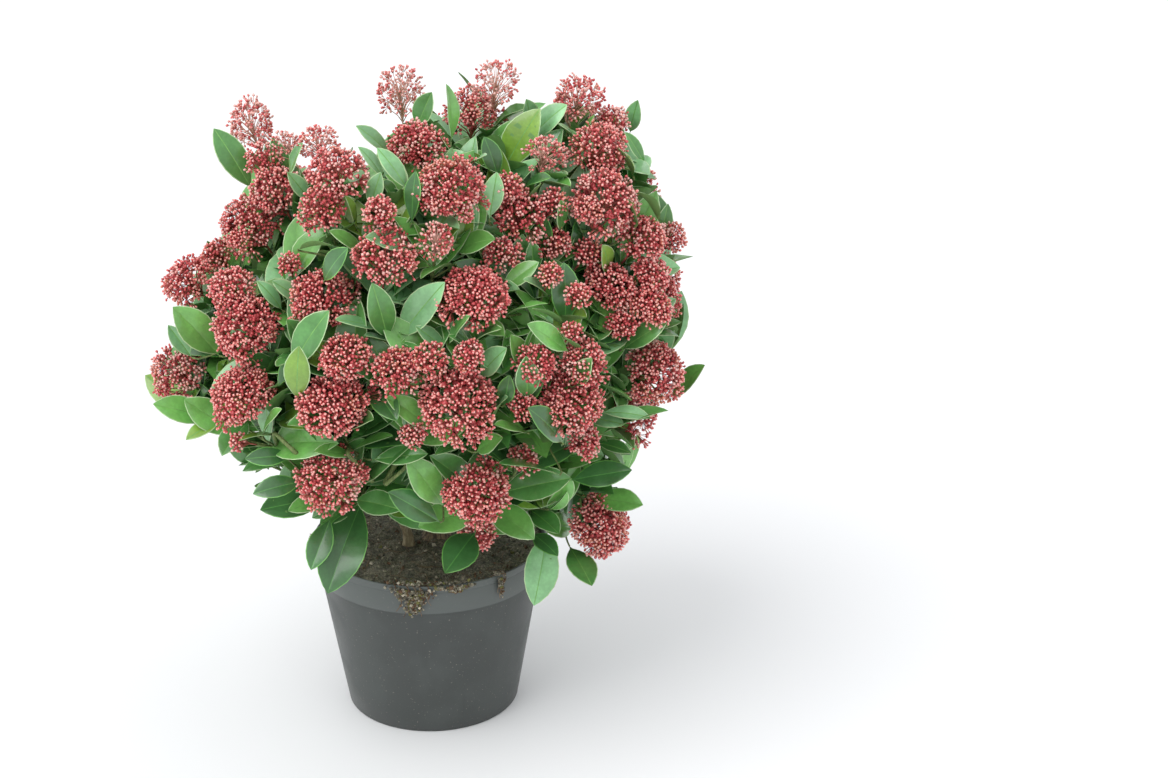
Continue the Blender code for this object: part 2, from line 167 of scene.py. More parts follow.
# Leaves that the photograph shows: column and row of the foot, of the tip, width in pixels and tint.
# Each lies over those before it that it overlaps
# Among these tints, the pale bluish green paints sheen and haze on lit leaves, and the deep tint on the leaves low
# down paints the shade there
SEEN_LEAVES = (
    (211, 347, 173, 307, 36, "bright"), (187, 351, 168, 325, 18, "mint"), (294, 365, 329, 311, 34, "mid"),
    (297, 400, 299, 346, 28, "olive"), (208, 418, 153, 404, 30, "bright"),
    (232, 432, 184, 399, 32, "bright"), (215, 423, 186, 440, 18, "olive"), (240, 432, 222, 456, 28, "mid"),
    (278, 437, 239, 441, 12, "olive"), (267, 429, 282, 409, 16, "bright"), (296, 297, 272, 281, 18, "mint"),
    (276, 303, 257, 281, 16, "mint"), (379, 329, 335, 320, 20, "mint"), (393, 347, 364, 336, 14, "mint"),
    (398, 340, 445, 282, 34, "mint"), (388, 340, 372, 283, 30, "mid"), (379, 325, 369, 292, 16, "olive"),
    (452, 340, 470, 316, 18, "mid"), (470, 352, 448, 336, 14, "mid"), (484, 372, 507, 348, 26, "mint"),
    (475, 344, 502, 329, 16, "mid"), (453, 330, 426, 317, 12, "bright"), (440, 345, 415, 326, 18, "mint"),
    (432, 428, 386, 397, 26, "bright"), (376, 392, 397, 421, 28, "deep"), (355, 450, 393, 436, 14, "bright"),
    (291, 456, 245, 459, 21, "deep"), (300, 482, 253, 494, 24, "deep"), (322, 498, 260, 510, 34, "deep"),
    (330, 520, 311, 570, 26, "deep"), (359, 509, 328, 593, 48, "deep"),
    (327, 497, 288, 511, 20, "bright"), (347, 510, 320, 524, 20, "mid"), (354, 457, 314, 452, 18, "bright"),
    (357, 500, 402, 510, 28, "mid"),
    (372, 460, 428, 454, 22, "mid"), (439, 500, 406, 457, 34, "bright"), (465, 513, 419, 527, 36, "bright"),
    (436, 520, 388, 492, 30, "deep"), (468, 542, 445, 573, 36, "deep"), (462, 445, 435, 455, 14, "mid"),
    (504, 492, 571, 478, 36, "mid"), (560, 475, 499, 464, 16, "mid"), (549, 471, 600, 459, 16, "bright"),
    (498, 512, 534, 539, 34, "bright"), (535, 514, 559, 534, 26, "mid"), (546, 537, 534, 605, 36, "mint"),
    (575, 556, 592, 586, 30, "mid"), (598, 499, 643, 505, 28, "bright"),
    (484, 448, 503, 438, 22, "bright"), (535, 536, 558, 556, 20, "deep"),
    (252, 190, 214, 129, 30, "mid"), (240, 228, 227, 205, 12, "mint"), (307, 197, 287, 172, 17, "mint"),
    (290, 176, 303, 143, 18, "mid"), (386, 152, 356, 126, 18, "mint"), (381, 176, 358, 147, 16, "mint"),
    (408, 190, 377, 148, 20, "mint"), (372, 203, 381, 172, 20, "mint"), (348, 165, 353, 147, 10, "mid"),
    (363, 257, 329, 231, 18, "bright"), (420, 250, 365, 237, 24, "mint"), (355, 225, 345, 196, 14, "olive"),
    (412, 222, 416, 171, 18, "deep"), (451, 142, 446, 84, 14, "bright"), (470, 90, 458, 72, 10, "bright"),
    (420, 120, 432, 92, 24, "mid"), (535, 134, 567, 105, 26, "mint"), (530, 120, 526, 99, 20, "mint"),
    (507, 165, 540, 109, 38, "olive"), (496, 172, 484, 137, 22, "deep"), (468, 172, 487, 155, 14, "mint"),
    (490, 215, 497, 172, 22, "mint"), (525, 190, 551, 178, 18, "deep"), (537, 198, 541, 184, 17, "olive"),
    (561, 226, 560, 200, 18, "mid"), (541, 246, 547, 219, 20, "deep"), (575, 146, 558, 124, 14, "mint"),
    (451, 154, 429, 124, 10, "bright"), (504, 287, 539, 262, 22, "bright"),
    (545, 297, 523, 280, 16, "mint"), (508, 315, 548, 304, 12, "bright"),
    (560, 323, 532, 309, 10, "bright"), (569, 352, 527, 324, 26, "bright"),
    (576, 350, 563, 337, 10, "bright"), (577, 337, 597, 338, 8, "bright"), (565, 320, 564, 263, 30, "deep"),
    (606, 268, 602, 245, 22, "olive"), (533, 262, 531, 241, 20, "mid"), (466, 247, 495, 239, 28, "bright"),
    (527, 397, 526, 356, 26, "mid"), (506, 397, 510, 375, 18, "deep"), (578, 381, 592, 358, 22, "mid"),
    (604, 387, 632, 401, 10, "bright"), (598, 420, 624, 425, 20, "mint"), (603, 413, 650, 418, 18, "mint"),
    (523, 432, 494, 425, 16, "bright"), (500, 410, 508, 397, 10, "mint"), (560, 440, 528, 408, 30, "deep"),
    (631, 129, 638, 100, 17, "mint"), (631, 172, 617, 147, 12, "olive"), (658, 220, 637, 192, 8, "bright"),
    (633, 222, 627, 200, 16, "olive"), (622, 350, 667, 322, 24, "mid"), (572, 480, 632, 470, 28, "deep"),
    (605, 445, 631, 453, 16, "mid"),
    (671, 399, 705, 365, 22, "bright"), (602, 434, 668, 411, 18, "mid"), (303, 249, 333, 246, 10, "mid"),
    (325, 280, 348, 248, 24, "deep"), (452, 266, 421, 279, 12, "bright"), (212, 262, 207, 241, 10, "mid"),
    (288, 182, 272, 138, 20, "mid"), (584, 134, 595, 115, 10, "bright"), (641, 158, 625, 132, 16, "mid"),
)

# Skyline of the leafy crown below its spires: columns, and the row where the sky ends in each
SKYLINE_COLUMNS = (140, 165, 175, 190, 205, 225, 235, 245, 255, 270, 280, 287, 295, 303, 310, 318, 330, 345,
                   353, 362, 368, 376, 386, 394, 402, 412, 425, 434, 441, 449, 454, 462, 472, 482, 495, 508,
                   520, 530, 548, 560, 590, 598, 606, 620, 632, 642, 652, 664, 680)
SKYLINE_ROWS = (385, 330, 300, 275, 258, 246, 216, 200, 152, 140, 152, 168, 162, 164, 186, 186, 166, 166,
                178, 190, 184, 170, 154, 150, 132, 118, 106, 112, 132, 146, 118, 100, 92, 100, 124, 120,
                106, 100, 106, 104, 98, 106, 112, 116, 132, 150, 165, 190, 250)

# Underside of the crown, where the wall, the peat or the pot shows below it
UNDERSIDE_COLUMNS = (130, 153, 190, 230, 244, 266, 274, 300, 345, 395, 424, 479, 511, 530, 567, 627, 641, 660)
UNDERSIDE_ROWS = (385, 410, 446, 460, 474, 486, 522, 530, 520, 518, 534, 546, 540, 545, 560, 565, 530, 900)

# Bare green twigs that the photograph shows: column and row of the upper end and of the lower
SEEN_TWIGS = ((350, 457, 372, 481), (403, 470, 386, 484), (277, 435, 298, 455))

LEAF_TINTS = ("bright", "mid", "deep", "olive", "mint")
# Chances of each tint by zone. The top's large share of the pale bluish green tint is painted haze and sheen, and
# the low zone's large share of the deep tint is painted shade under the crown
TINT_CHANCES = {
    "top": (0.30, 0.13, 0.05, 0.10, 0.42),
    "left": (0.28, 0.38, 0.18, 0.08, 0.08),
    "right": (0.32, 0.34, 0.12, 0.08, 0.14),
    "back": (0.28, 0.36, 0.18, 0.08, 0.10),
    "low": (0.14, 0.42, 0.36, 0.04, 0.04),
}
BUD_TINTS = ("rose", "crimson", "wine", "russet", "pink")


def unit(vector):
    """The vector, or each of several, at length one."""
    return vector / np.maximum(np.linalg.norm(vector, axis=-1, keepdims=True), 1e-12)


def square_to(direction):
    """A unit vector at right angles to a direction."""
    helper = UP if abs(direction[2]) < 0.9 else SIGHT_RIGHT
    return unit(np.cross(direction, helper))


def curve(a, b, c, d, steps):
    """Points along a cubic curve through its four control points."""
    t = np.linspace(0.0, 1.0, steps + 1)[:, None]
    s = 1.0 - t
    return a * s ** 3 + b * (3 * s * s * t) + c * (3 * s * t * t) + d * t ** 3


def dome_directions(count, widest):
    """Evenly spread directions about +Z, as far from it as the widest angle."""
    order = np.arange(count) + 0.5
    height = 1.0 - order / count * (1.0 - math.cos(widest))
    level = np.sqrt(np.maximum(0.0, 1.0 - height ** 2))
    turn = order * GOLDEN_ANGLE
    return np.stack([level * np.cos(turn), level * np.sin(turn), height], 1)


def basis(axis):
    """Three rows, two across an axis and the axis itself."""
    across = square_to(axis)
    return np.stack([across, np.cross(axis, across), axis])


def sight_line(column, row):
    """Direction from the camera through a pixel of the photograph."""
    return unit(SIGHT + SIGHT_RIGHT * (column - IMAGE_WIDTH / 2) / FOCAL_PIXELS
                + SIGHT_DOWN * (row - IMAGE_HEIGHT / 2) / FOCAL_PIXELS)


def seen_pixel(point):
    """Column and row of the photograph that a point falls in."""
    offset = point - CAMERA_PLACE
    scale = FOCAL_PIXELS / (offset @ SIGHT)
    return IMAGE_WIDTH / 2 + scale * (offset @ SIGHT_RIGHT), IMAGE_HEIGHT / 2 + scale * (offset @ SIGHT_DOWN)


def in_sky(point):
    """True if the photograph shows the sky or the wall at a point, past the leafy crown."""
    column, row = seen_pixel(point)
    above = row < np.interp(column, SKYLINE_COLUMNS, SKYLINE_ROWS)
    return above or row > np.interp(column, UNDERSIDE_COLUMNS, UNDERSIDE_ROWS)


class Pile:
    """Vertices and triangles gathered for one piece, with a finish for every triangle."""

    def __init__(self, *finishes):
        self.finishes = list(finishes)
        self.points = []
        self.faces = []
        self.looks = []
        self.rims = []
        self.count = 0

    def add(self, points, faces, look, rim=None):
        """Add a shape; rim marks the vertices whose shared edges stay crisp."""
        self.points.append(points)
        self.faces.append(faces + self.count)
        self.looks.append(np.broadcast_to(look, len(faces)))
        self.rims.append(np.zeros(len(points), bool) if rim is None else rim)
        self.count += len(points)

    def make(self, name, smooth=True):
        """The gathered triangles as one object."""
        points = np.concatenate(self.points).astype(np.float32)
        faces = np.concatenate(self.faces).astype(np.int32)
        looks = np.concatenate(self.looks).astype(np.int32)
        rims = np.concatenate(self.rims)
        mesh = bpy.data.meshes.new(name)
        mesh.vertices.add(len(points))
        mesh.vertices.foreach_set("co", points.ravel())
        mesh.loops.add(faces.size)
        mesh.loops.foreach_set("vertex_index", faces.ravel())
        mesh.polygons.add(len(faces))
        mesh.polygons.foreach_set("loop_start", np.arange(0, faces.size, 3, dtype=np.int32))
        mesh.polygons.foreach_set("material_index", looks)
        mesh.polygons.foreach_set("use_smooth", np.full(len(faces), smooth))
        mesh.update(calc_edges=True)
        if rims.any():
            ends = np.zeros(len(mesh.edges) * 2, np.int32)
            mesh.edges.foreach_get("vertices", ends)
            crisp = rims[ends.reshape(-1, 2)].all(1)
            mesh.attributes.new("sharp_edge", "BOOLEAN", "EDGE").data.foreach_set("value", crisp)
        for finish in self.finishes:
            mesh.materials.append(finish)
        piece = bpy.data.objects.new(name, mesh)
        bpy.context.scene.collection.objects.link(piece)
        return piece


def settle(piece, slot, *nodes):
    """Put a piece on the body, in place of the nodes that it stands for. The slot argument is not used."""
    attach(piece, "root")
    if nodes:
        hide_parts(*nodes)
    return piece


def tube_faces(rings, sides):
    """Triangles of a tube whose vertices are its rings in order and then its two end points."""
    ring = np.arange(rings - 1)[:, None] * sides
    side = np.arange(sides)[None, :]
    after = (side + 1) % sides
    low, low_after = ring + side, ring + after
    high, high_after = low + sides, low_after + sides
    wall = np.concatenate([np.stack([low, low_after, high_after], -1).reshape(-1, 3),
                           np.stack([low, high_after, high], -1).reshape(-1, 3)])
    start, end = rings * sides, rings * sides + 1
    last = (rings - 1) * sides
    one = np.arange(sides)
    two = (one + 1) % sides
    foot = np.stack([np.full(sides, start), two, one], 1)
    tip = np.stack([np.full(sides, end), last + one, last + two], 1)
    return np.concatenate([wall, foot, tip])


def tube_points(path, radii, sides):
    """Vertices of a closed tube along a path. radii is one per point, or one per point and side."""
    along = unit(np.gradient(path, axis=0))
    across = square_to(along[0])
    turn = np.arange(sides) * 2 * math.pi / sides
    rings = []
    for place, direction, radius in zip(path, along, radii):
        across = unit(across - direction * (across @ direction))
        beside = np.cross(direction, across)
        spokes = np.cos(turn)[:, None] * across + np.sin(turn)[:, None] * beside
        rings.append(place + spokes * np.reshape(radius, (-1, 1)))
    return np.concatenate(rings + [path[:1], path[-1:]])


def add_tube(pile, path, radii, sides, look):
    """Add a closed tube to a pile."""
    pile.add(tube_points(path, radii, sides), tube_faces(len(path), sides), look)


class Wire:
    """An output of a shader node, so that shader maths reads as plain sums."""

    def __init__(self, socket):
        self.socket = socket

    def join(self, operation, first, second):
        """First and second, joined by the node that fits what they carry."""
        nodes = self.socket.id_data.nodes
        carried = {item.socket.type for item in (first, second) if isinstance(item, Wire)}
        if "RGBA" in carried:
            node = nodes.new("ShaderNodeMix")
            node.data_type = "RGBA"
            node.blend_type = operation
            node.inputs[0].default_value = 1.0
            feed(node.inputs[6], first)
            feed(node.inputs[7], second)
            return Wire(node.outputs[2])
        node = nodes.new("ShaderNodeVectorMath" if "VECTOR" in carried else "ShaderNodeMath")
        node.operation = operation
        feed(node.inputs[0], first)
        feed(node.inputs[1], second)
        return Wire(node.outputs[0])

    def __add__(self, other):
        return self.join("ADD", self, other)

    def __radd__(self, other):
        return self.join("ADD", other, self)

    def __sub__(self, other):
        return self.join("SUBTRACT", self, other)

    def __rsub__(self, other):
        return self.join("SUBTRACT", other, self)

    def __mul__(self, other):
        return self.join("MULTIPLY", self, other)

    def __rmul__(self, other):
        return self.join("MULTIPLY", other, self)

    def between(self, low, high):
        """Low where this value is 0 and high where it is 1."""
        node = self.socket.id_data.nodes.new("ShaderNodeMix")
        node.data_type = "RGBA"
        feed(node.inputs[0], self)
        feed(node.inputs[6], low)
        feed(node.inputs[7], high)
        return Wire(node.outputs[2])


def feed(socket, value):
    """Link a wire to a socket, or set its value."""
    if isinstance(value, Wire):
        socket.id_data.links.new(value.socket, socket)
    elif socket.type == "RGBA":
        level = [value] * 3 if isinstance(value, (int, float)) else list(value)
        socket.default_value = (*level[:3], 1.0)
    elif socket.type == "VECTOR" and isinstance(value, (int, float)):
        socket.default_value = (value,) * 3
    else:
        socket.default_value = value


class Finish:
    """A procedural material around one Principled shader."""

    def __init__(self, name):
        self.material = bpy.data.materials.new(name)
        self.material.use_nodes = True
        self.tree = self.material.node_tree
        self.tree.nodes.clear()
        self.shader = self.tree.nodes.new("ShaderNodeBsdfPrincipled")
        output = self.tree.nodes.new("ShaderNodeOutputMaterial")
        self.tree.links.new(self.shader.outputs[0], output.inputs[0])
        self.place = self.node("ShaderNodeTexCoord", output="Object")

    def node(self, kind, settings=None, values=None, output=0):
        """Add a node: its settings first, then its sockets, and hand back one output."""
        made = self.tree.nodes.new(kind)
        for key, value in (settings or {}).items():
            if key == "stops":
                ramp = made.color_ramp
                ramp.elements[0].position, ramp.elements[0].color = value[0]
                ramp.elements[1].position, ramp.elements[1].color = value[-1]
                for position, colour in value[1:-1]:
                    ramp.elements.new(position).color = colour
            else:
                setattr(made, key, value)
        for key, value in (values or {}).items():
            feed(made.inputs[key], value)
        return Wire(made.outputs[output])

    def grain(self, size, detail=2.0, stretch=(1.0, 1.0, 1.0)):
        """Noise from 0 to 1 whose lumps have about this size in metres."""
        scale = tuple(1.0 / (size * share) for share in stretch)
        return self.node("ShaderNodeTexNoise", {"noise_dimensions": "3D"},
                         {"Vector": self.place * scale, "Scale": 1.0, "Detail": detail})

    def over(self, value, start, end):
        """Where a value lies from start to end, as a soft step from 0 to 1."""
        return self.node("ShaderNodeMapRange", {"interpolation_type": "SMOOTHSTEP"},
                         {"Value": value, "From Min": start, "From Max": end})

    def relief(self, height, depth, strength=1.0):
        """A bump of this depth in metres from a height of 0 to 1."""
        return self.node("ShaderNodeBump", None,
                         {"Height": height, "Distance": depth, "Strength": strength})

    def dress(self, values):
        """Set the shader's own sockets, and hand back the material."""
        for key, value in values.items():
            feed(self.shader.inputs[key], value)
        return self.material


def tinted(colour, share):
    """A colour made lighter or darker by a share."""
    return tuple(min(1.0, part * share) for part in colour)


def leaf_finish(name, colour, settings):
    """Leathery glossy leaf with a slow change of colour along the sprays."""
    finish = Finish(name)
    cloud = finish.grain(0.030, 2.0)
    fleck = finish.grain(0.0035, 2.0)
    tone = finish.over(cloud, 0.32, 0.70).between(tinted(colour, 0.80), tinted(colour, 1.16))
    tone = finish.over(fleck, 0.30, 0.75).between(tone * 0.92, tone * 1.06)
    return finish.dress({
        "Base Color": tone,
        "Roughness": cloud * 0.16 + (settings.leaf_roughness - 0.08),
        "Coat Weight": 0.60,
        "Coat Roughness": 0.15,
        "Normal": finish.relief(finish.grain(0.0022, 2.0), 0.0003, 0.35),
    })


def leaf_under_finish(colour):
    """Dull paler underside of a leaf."""
    finish = Finish("leaf_under")
    cloud = finish.grain(0.012, 3.0)
    return finish.dress({
        "Base Color": cloud.between(tinted(colour, 0.86), tinted(colour, 1.12)),
        "Roughness": 0.62,
        "Normal": finish.relief(finish.grain(0.0015, 2.0), 0.0002, 0.4),
    })


def thin_finish(name, colour, roughness):
    """Plain plant tissue with a little mottling, for rims, ribs, stalks and roots."""
    finish = Finish(name)
    cloud = finish.grain(0.006, 3.0)
    return finish.dress({
        "Base Color": finish.over(cloud, 0.3, 0.7).between(tinted(colour, 0.82), tinted(colour, 1.15)),
        "Roughness": roughness,
        "Normal": finish.relief(finish.grain(0.0012, 2.0), 0.0002, 0.4),
    })


def bud_finish(name, colour, roughness):
    """Waxy closed bud, a little mottled."""
    finish = Finish(name)
    cloud = finish.grain(0.0030, 2.0)
    return finish.dress({
        "Base Color": finish.over(cloud, 0.3, 0.7).between(tinted(colour, 0.84), tinted(colour, 1.14)),
        "Roughness": cloud * 0.1 + roughness,
        "Coat Weight": 0.25,
        "Coat Roughness": 0.30,
    })


def bark_finish(name, colour, ridge_colour, furrow):
    """Bark with ridges that run up the limb and pale pores."""
    finish = Finish(name)
    ridges = finish.grain(furrow, 4.0, (1.0, 1.0, 4.0))
    pores = finish.over(finish.grain(0.0016, 1.0), 0.66, 0.74)
    patches = finish.over(finish.grain(0.018, 3.0), 0.42, 0.66)
    tone = finish.over(ridges, 0.35, 0.68).between(colour, ridge_colour)
    tone = patches.between(tone, tone * 0.72)
    tone = (pores * 0.6).between(tone, (0.42, 0.36, 0.26))
    return finish.dress({
        "Base Color": tone,
        "Roughness": ridges * 0.2 + 0.62,
        "Normal": finish.relief(ridges + pores * 0.3, 0.0012, 0.7),
    })


def pot_finish(colour):
    """Moulded nursery plastic, dusty and rubbed, with peat stains below the rim and painted light on the rim band.
    """
    finish = Finish("pot_plastic")
    dust = finish.over(finish.grain(0.050, 5.0), 0.42, 0.72)
    speck = finish.over(finish.grain(0.0022, 2.0), 0.68, 0.74)
    streak = finish.over(finish.grain(0.016, 4.0, (1.0, 1.0, 6.0)), 0.55, 0.80)
    height = finish.node("ShaderNodeSeparateXYZ", None, {"Vector": finish.place}, "Z")
    # Painted light: above the step the rim band is mixed towards a much lighter grey, as if lit, while the
    # downward facing wall below keeps the darker colour
    lit_band = finish.over(height, 0.1522, 0.1536)
    rim_wear = finish.over(height, 0.1820, 0.1850)
    tone = dust.between(tinted(colour, 0.92), tinted(colour, 1.22))
    tone = (streak * 0.35).between(tone, tinted(colour, 0.66))
    tone = (speck * 0.45).between(tone, (0.30, 0.27, 0.22))
    # Painted light on the rim band
    tone = (lit_band * 0.65).between(tone, tinted(colour, 2.4))
    tone = (rim_wear * 0.35).between(tone, tinted(colour, 2.6))
    return finish.dress({
        "Base Color": tone,
        "Roughness": dust * 0.18 + 0.38,
        "Normal": finish.relief(finish.grain(0.0009, 2.0) + streak * 0.2, 0.0002, 0.35),
    })


def peat_finish(name, dark, brown, lump):
    """Damp peat with fibres and lighter crumbs."""
    finish = Finish(name)
    clods = finish.grain(lump, 5.0)
    crumbs = finish.grain(lump * 0.22, 4.0)
    pale = finish.over(finish.grain(lump * 0.30, 2.0), 0.66, 0.72)
    tone = finish.over(clods, 0.36, 0.68).between(dark, brown)
    tone = finish.over(crumbs, 0.35, 0.75).between(tone * 0.55, tone * 1.3)
    tone = (pale * 0.5).between(tone, tinted(brown, 2.2))
    return finish.dress({
        "Base Color": tone,
        "Roughness": 0.88,
        "Normal": finish.relief(clods * 0.5 + crumbs, lump * 0.35, 0.9),
    })


class SkimmiaCrownSettings(bpy.types.PropertyGroup):
    """Growth and colours of the crown."""

    seed: IntProperty(
        name="Seed", description="Start of every random draw in the crown", default=23, min=0)
    leaf_length: FloatProperty(
        name="Leaf length", description="Length of a full grown leaf with its stalk",
        default=0.086, min=0.03, max=0.14, unit="LENGTH")
    leaf_slimness: FloatProperty(
        name="Leaf slimness", description="Width of a leaf as a share of its length",
        default=0.41, min=0.15, max=0.7, subtype="FACTOR")
    leaves_to_a_shoot: IntProperty(
        name="Leaves to a shoot", description="Leaves round the foot of each head", default=8, min=2)
    leaf_roughness: FloatProperty(
        name="Leaf roughness", description="How dull the leaves' upper side is",
        default=0.33, min=0.0, max=1.0, subtype="FACTOR")
    bud_radius: FloatProperty(
        name="Bud radius", description="Radius of a closed flower bud",
        default=0.00166, min=0.0005, max=0.005, unit="LENGTH")
    bud_spacing: FloatProperty(
        name="Bud spacing", description="Distance between buds on a head",
        default=0.0038, min=0.003, max=0.02, unit="LENGTH")
    head_spacing: FloatProperty(
        name="Head spacing", description="Least distance between heads away from the front",
        default=0.062, min=0.02, max=0.2, unit="LENGTH")
    bright: FloatVectorProperty(
        name="Bright leaf", description="Young leaves", subtype="COLOR", size=3,
        default=(0.165, 0.440, 0.092))
    mid: FloatVectorProperty(
        name="Green leaf", description="Full grown leaves", subtype="COLOR", size=3,
        default=(0.098, 0.300, 0.070))
    # Partly painted shade: besides older leaves, this darker green is dealt to leaves low in the crown where shade
    # falls
    deep: FloatVectorProperty(
        name="Deep leaf", description="Older leaves", subtype="COLOR", size=3,
        default=(0.052, 0.170, 0.046))
    olive: FloatVectorProperty(
        name="Olive leaf", description="Leaves on the yellow side", subtype="COLOR", size=3,
        default=(0.205, 0.385, 0.050))
    # Painted light: this pale bluish green stands for the sheen and haze on lit leaves, mostly at the top
    mint: FloatVectorProperty(
        name="Mint leaf", description="Pale leaves at the top", subtype="COLOR", size=3,
        default=(0.240, 0.520, 0.230))
    # Painted highlight: the pale rim colour stands for the light caught on each leaf's thin edge
    leaf_rim: FloatVectorProperty(
        name="Leaf rim", description="Thin edge of every leaf", subtype="COLOR", size=3,
        default=(0.460, 0.640, 0.340))
    leaf_rib: FloatVectorProperty(
        name="Leaf rib", description="Midrib of every leaf", subtype="COLOR", size=3,
        default=(0.170, 0.400, 0.095))
    leaf_under: FloatVectorProperty(
        name="Leaf underside", description="Dull side of every leaf", subtype="COLOR", size=3,
        default=(0.150, 0.310, 0.090))
    rose: FloatVectorProperty(
        name="Rose bud", description="Lighter buds", subtype="COLOR", size=3,
        default=(0.880, 0.290, 0.258))
    crimson: FloatVectorProperty(
        name="Crimson bud", description="Most buds", subtype="COLOR", size=3,
        default=(0.800, 0.165, 0.160))
    # Also painted shade: sunk buds and young buds deep inside a head take this darker red, without the pale tip
    wine: FloatVectorProperty(
        name="Wine bud", description="Deep set buds", subtype="COLOR", size=3,
        default=(0.560, 0.078, 0.084))
    russet: FloatVectorProperty(
        name="Russet bud", description="Browner buds", subtype="COLOR", size=3,
        default=(0.700, 0.240, 0.155))
    pink: FloatVectorProperty(
        name="Pink bud", description="Palest buds, mostly on loose heads", subtype="COLOR", size=3,
        default=(0.900, 0.520, 0.460))
    # Painted highlight: the pale tip stands for the light on the top of each bud
    bud_tip: FloatVectorProperty(
        name="Bud tip", description="Pale tip of every bud", subtype="COLOR", size=3,
        default=(0.930, 0.480, 0.425))
    stalk: FloatVectorProperty(
        name="Flower stalk", description="Branches of the heads", subtype="COLOR", size=3,
        default=(0.430, 0.110, 0.085))
    pale_stalk: FloatVectorProperty(
        name="Pale flower stalk", description="Branches of the loose heads", subtype="COLOR", size=3,
        default=(0.780, 0.480, 0.390))


class SkimmiaLimbSettings(bpy.types.PropertyGroup):
    """Wood of the stems, boughs and twigs."""

    relief: FloatProperty(
        name="Bark relief", description="Depth of the bark's ridges",
        default=0.0008, min=0.0, max=0.004, unit="LENGTH")
    bark: FloatVectorProperty(
        name="Bark", description="Furrows of the old wood", subtype="COLOR", size=3,
        default=(0.095, 0.068, 0.042))
    bark_ridge: FloatVectorProperty(
        name="Bark ridge", description="Ridges of the old wood", subtype="COLOR", size=3,
        default=(0.330, 0.250, 0.150))
    twig: FloatVectorProperty(
        name="Green twig", description="Young wood", subtype="COLOR", size=3,
        default=(0.170, 0.230, 0.070))


class SkimmiaPotSettings(bpy.types.PropertyGroup):
    """Pot and what grows or lies in it."""

    colour: FloatVectorProperty(
        name="Pot", description="Grey nursery plastic", subtype="COLOR", size=3,
        default=(0.048, 0.055, 0.052))
    peat: FloatVectorProperty(
        name="Peat", description="Dark damp peat", subtype="COLOR", size=3,
        default=(0.160, 0.152, 0.112))
    fibre: FloatVectorProperty(
        name="Fibre", description="Brown fibrous peat", subtype="COLOR", size=3,
        default=(0.280, 0.252, 0.185))
    crumbs: IntProperty(
        name="Crumbs", description="Loose crumbs on the peat", default=1300, min=0)
    roots: IntProperty(
        name="Roots", description="Fine roots on the peat", default=60, min=0)


class SkimmiaStudioSettings(bpy.types.PropertyGroup):
    """Floor and light."""

    floor: FloatVectorProperty(
        name="Floor", description="Pale plain floor", subtype="COLOR", size=3,
        default=(0.86, 0.865, 0.872))
    sky: FloatProperty(
        name="Surround", description="Strength of the even light from all round",
        default=1.0, min=0.0)
    key: FloatProperty(
        name="Key light", description="Strength of the soft light above on the left",
        default=1.5, min=0.0)
    key_softness: FloatProperty(
        name="Key softness", description="Angle that the key light fills",
        default=math.radians(46), min=0.0, max=math.pi, subtype="ANGLE")


SETTINGS = {
    "skimmia_crown": SkimmiaCrownSettings,
    "skimmia_limbs": SkimmiaLimbSettings,
    "skimmia_pot": SkimmiaPotSettings,
    "skimmia_studio": SkimmiaStudioSettings,
}


def crown_shape():
    """Search tree of all foliage masses, and the mass that each of its faces belongs to."""
    points, faces, owners = [], [], []
    for mass in MASSES:
        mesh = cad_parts["foliage_" + mass].data
        start = len(points)
        points += [vertex.co.copy() for vertex in mesh.vertices]
        for polygon in mesh.polygons:
            faces.append([start + index for index in polygon.vertices])
            owners.append(mass)
    return BVHTree.FromPolygons(points, faces), owners


def bough_curve(mass):
    """Control points of the limb that carries a mass."""
    middle = np.array(MASSES[mass][0])
    if mass in SIDE_STEMS:
        foot = np.array([*SIDE_STEMS[mass], STEM_FOOT[2]])
        level = (middle - foot) * (1, 1, 0)
        return (foot, foot + UP * SIDE_STEM_RISE,
                foot + level * SIDE_STEM_SWING + UP * SIDE_STEM_LATER_RISE, middle)
    tier = "top" if middle[2] > TOP_TIER_FROM else "low" if middle[2] < LOW_TIER_TO else "middle"
    height = TIER_HEIGHT[tier] + TIER_STAGGER * (list(MASSES).index(mass) % 2)
    share = min(1.0, height / STEM_HEIGHT)
    on_stem = stem_path(48)[round(share * 48)]
    outward = unit((middle - on_stem) * (1, 1, 0))
    start = on_stem + outward * BOUGH_OFFSET
    level = (middle - start) * (1, 1, 0)
    climb = (middle - start) * (0, 0, 1)
    swing = TIER_SWING[tier]
    return (start, start + level * swing * FIRST_SWING + climb * FIRST_CLIMB,
            start + level * swing * LATER_SWING + climb * LATER_CLIMB, middle)


def stem_path(steps):
    """Points up the middle of the main stem."""
    rise = UP * STEM_HEIGHT
    fork = STEM_FOOT + rise + STEM_LEAN
    return curve(STEM_FOOT, STEM_FOOT + rise / 3, STEM_FOOT + rise * 2 / 3 + STEM_LEAN / 2, fork, steps)


class Shoot:
    """A leafy shoot at the end of a twig, with or without a flower head."""

    def __init__(self, middle, axis, mass, radius, open_share, seen):
        self.middle = middle
        self.axis = axis
        self.mass = mass
        self.zone = MASSES[mass][1]
        self.radius = radius
        self.open_share = open_share
        self.seen = seen
        self.collar = middle
        self.foot = middle


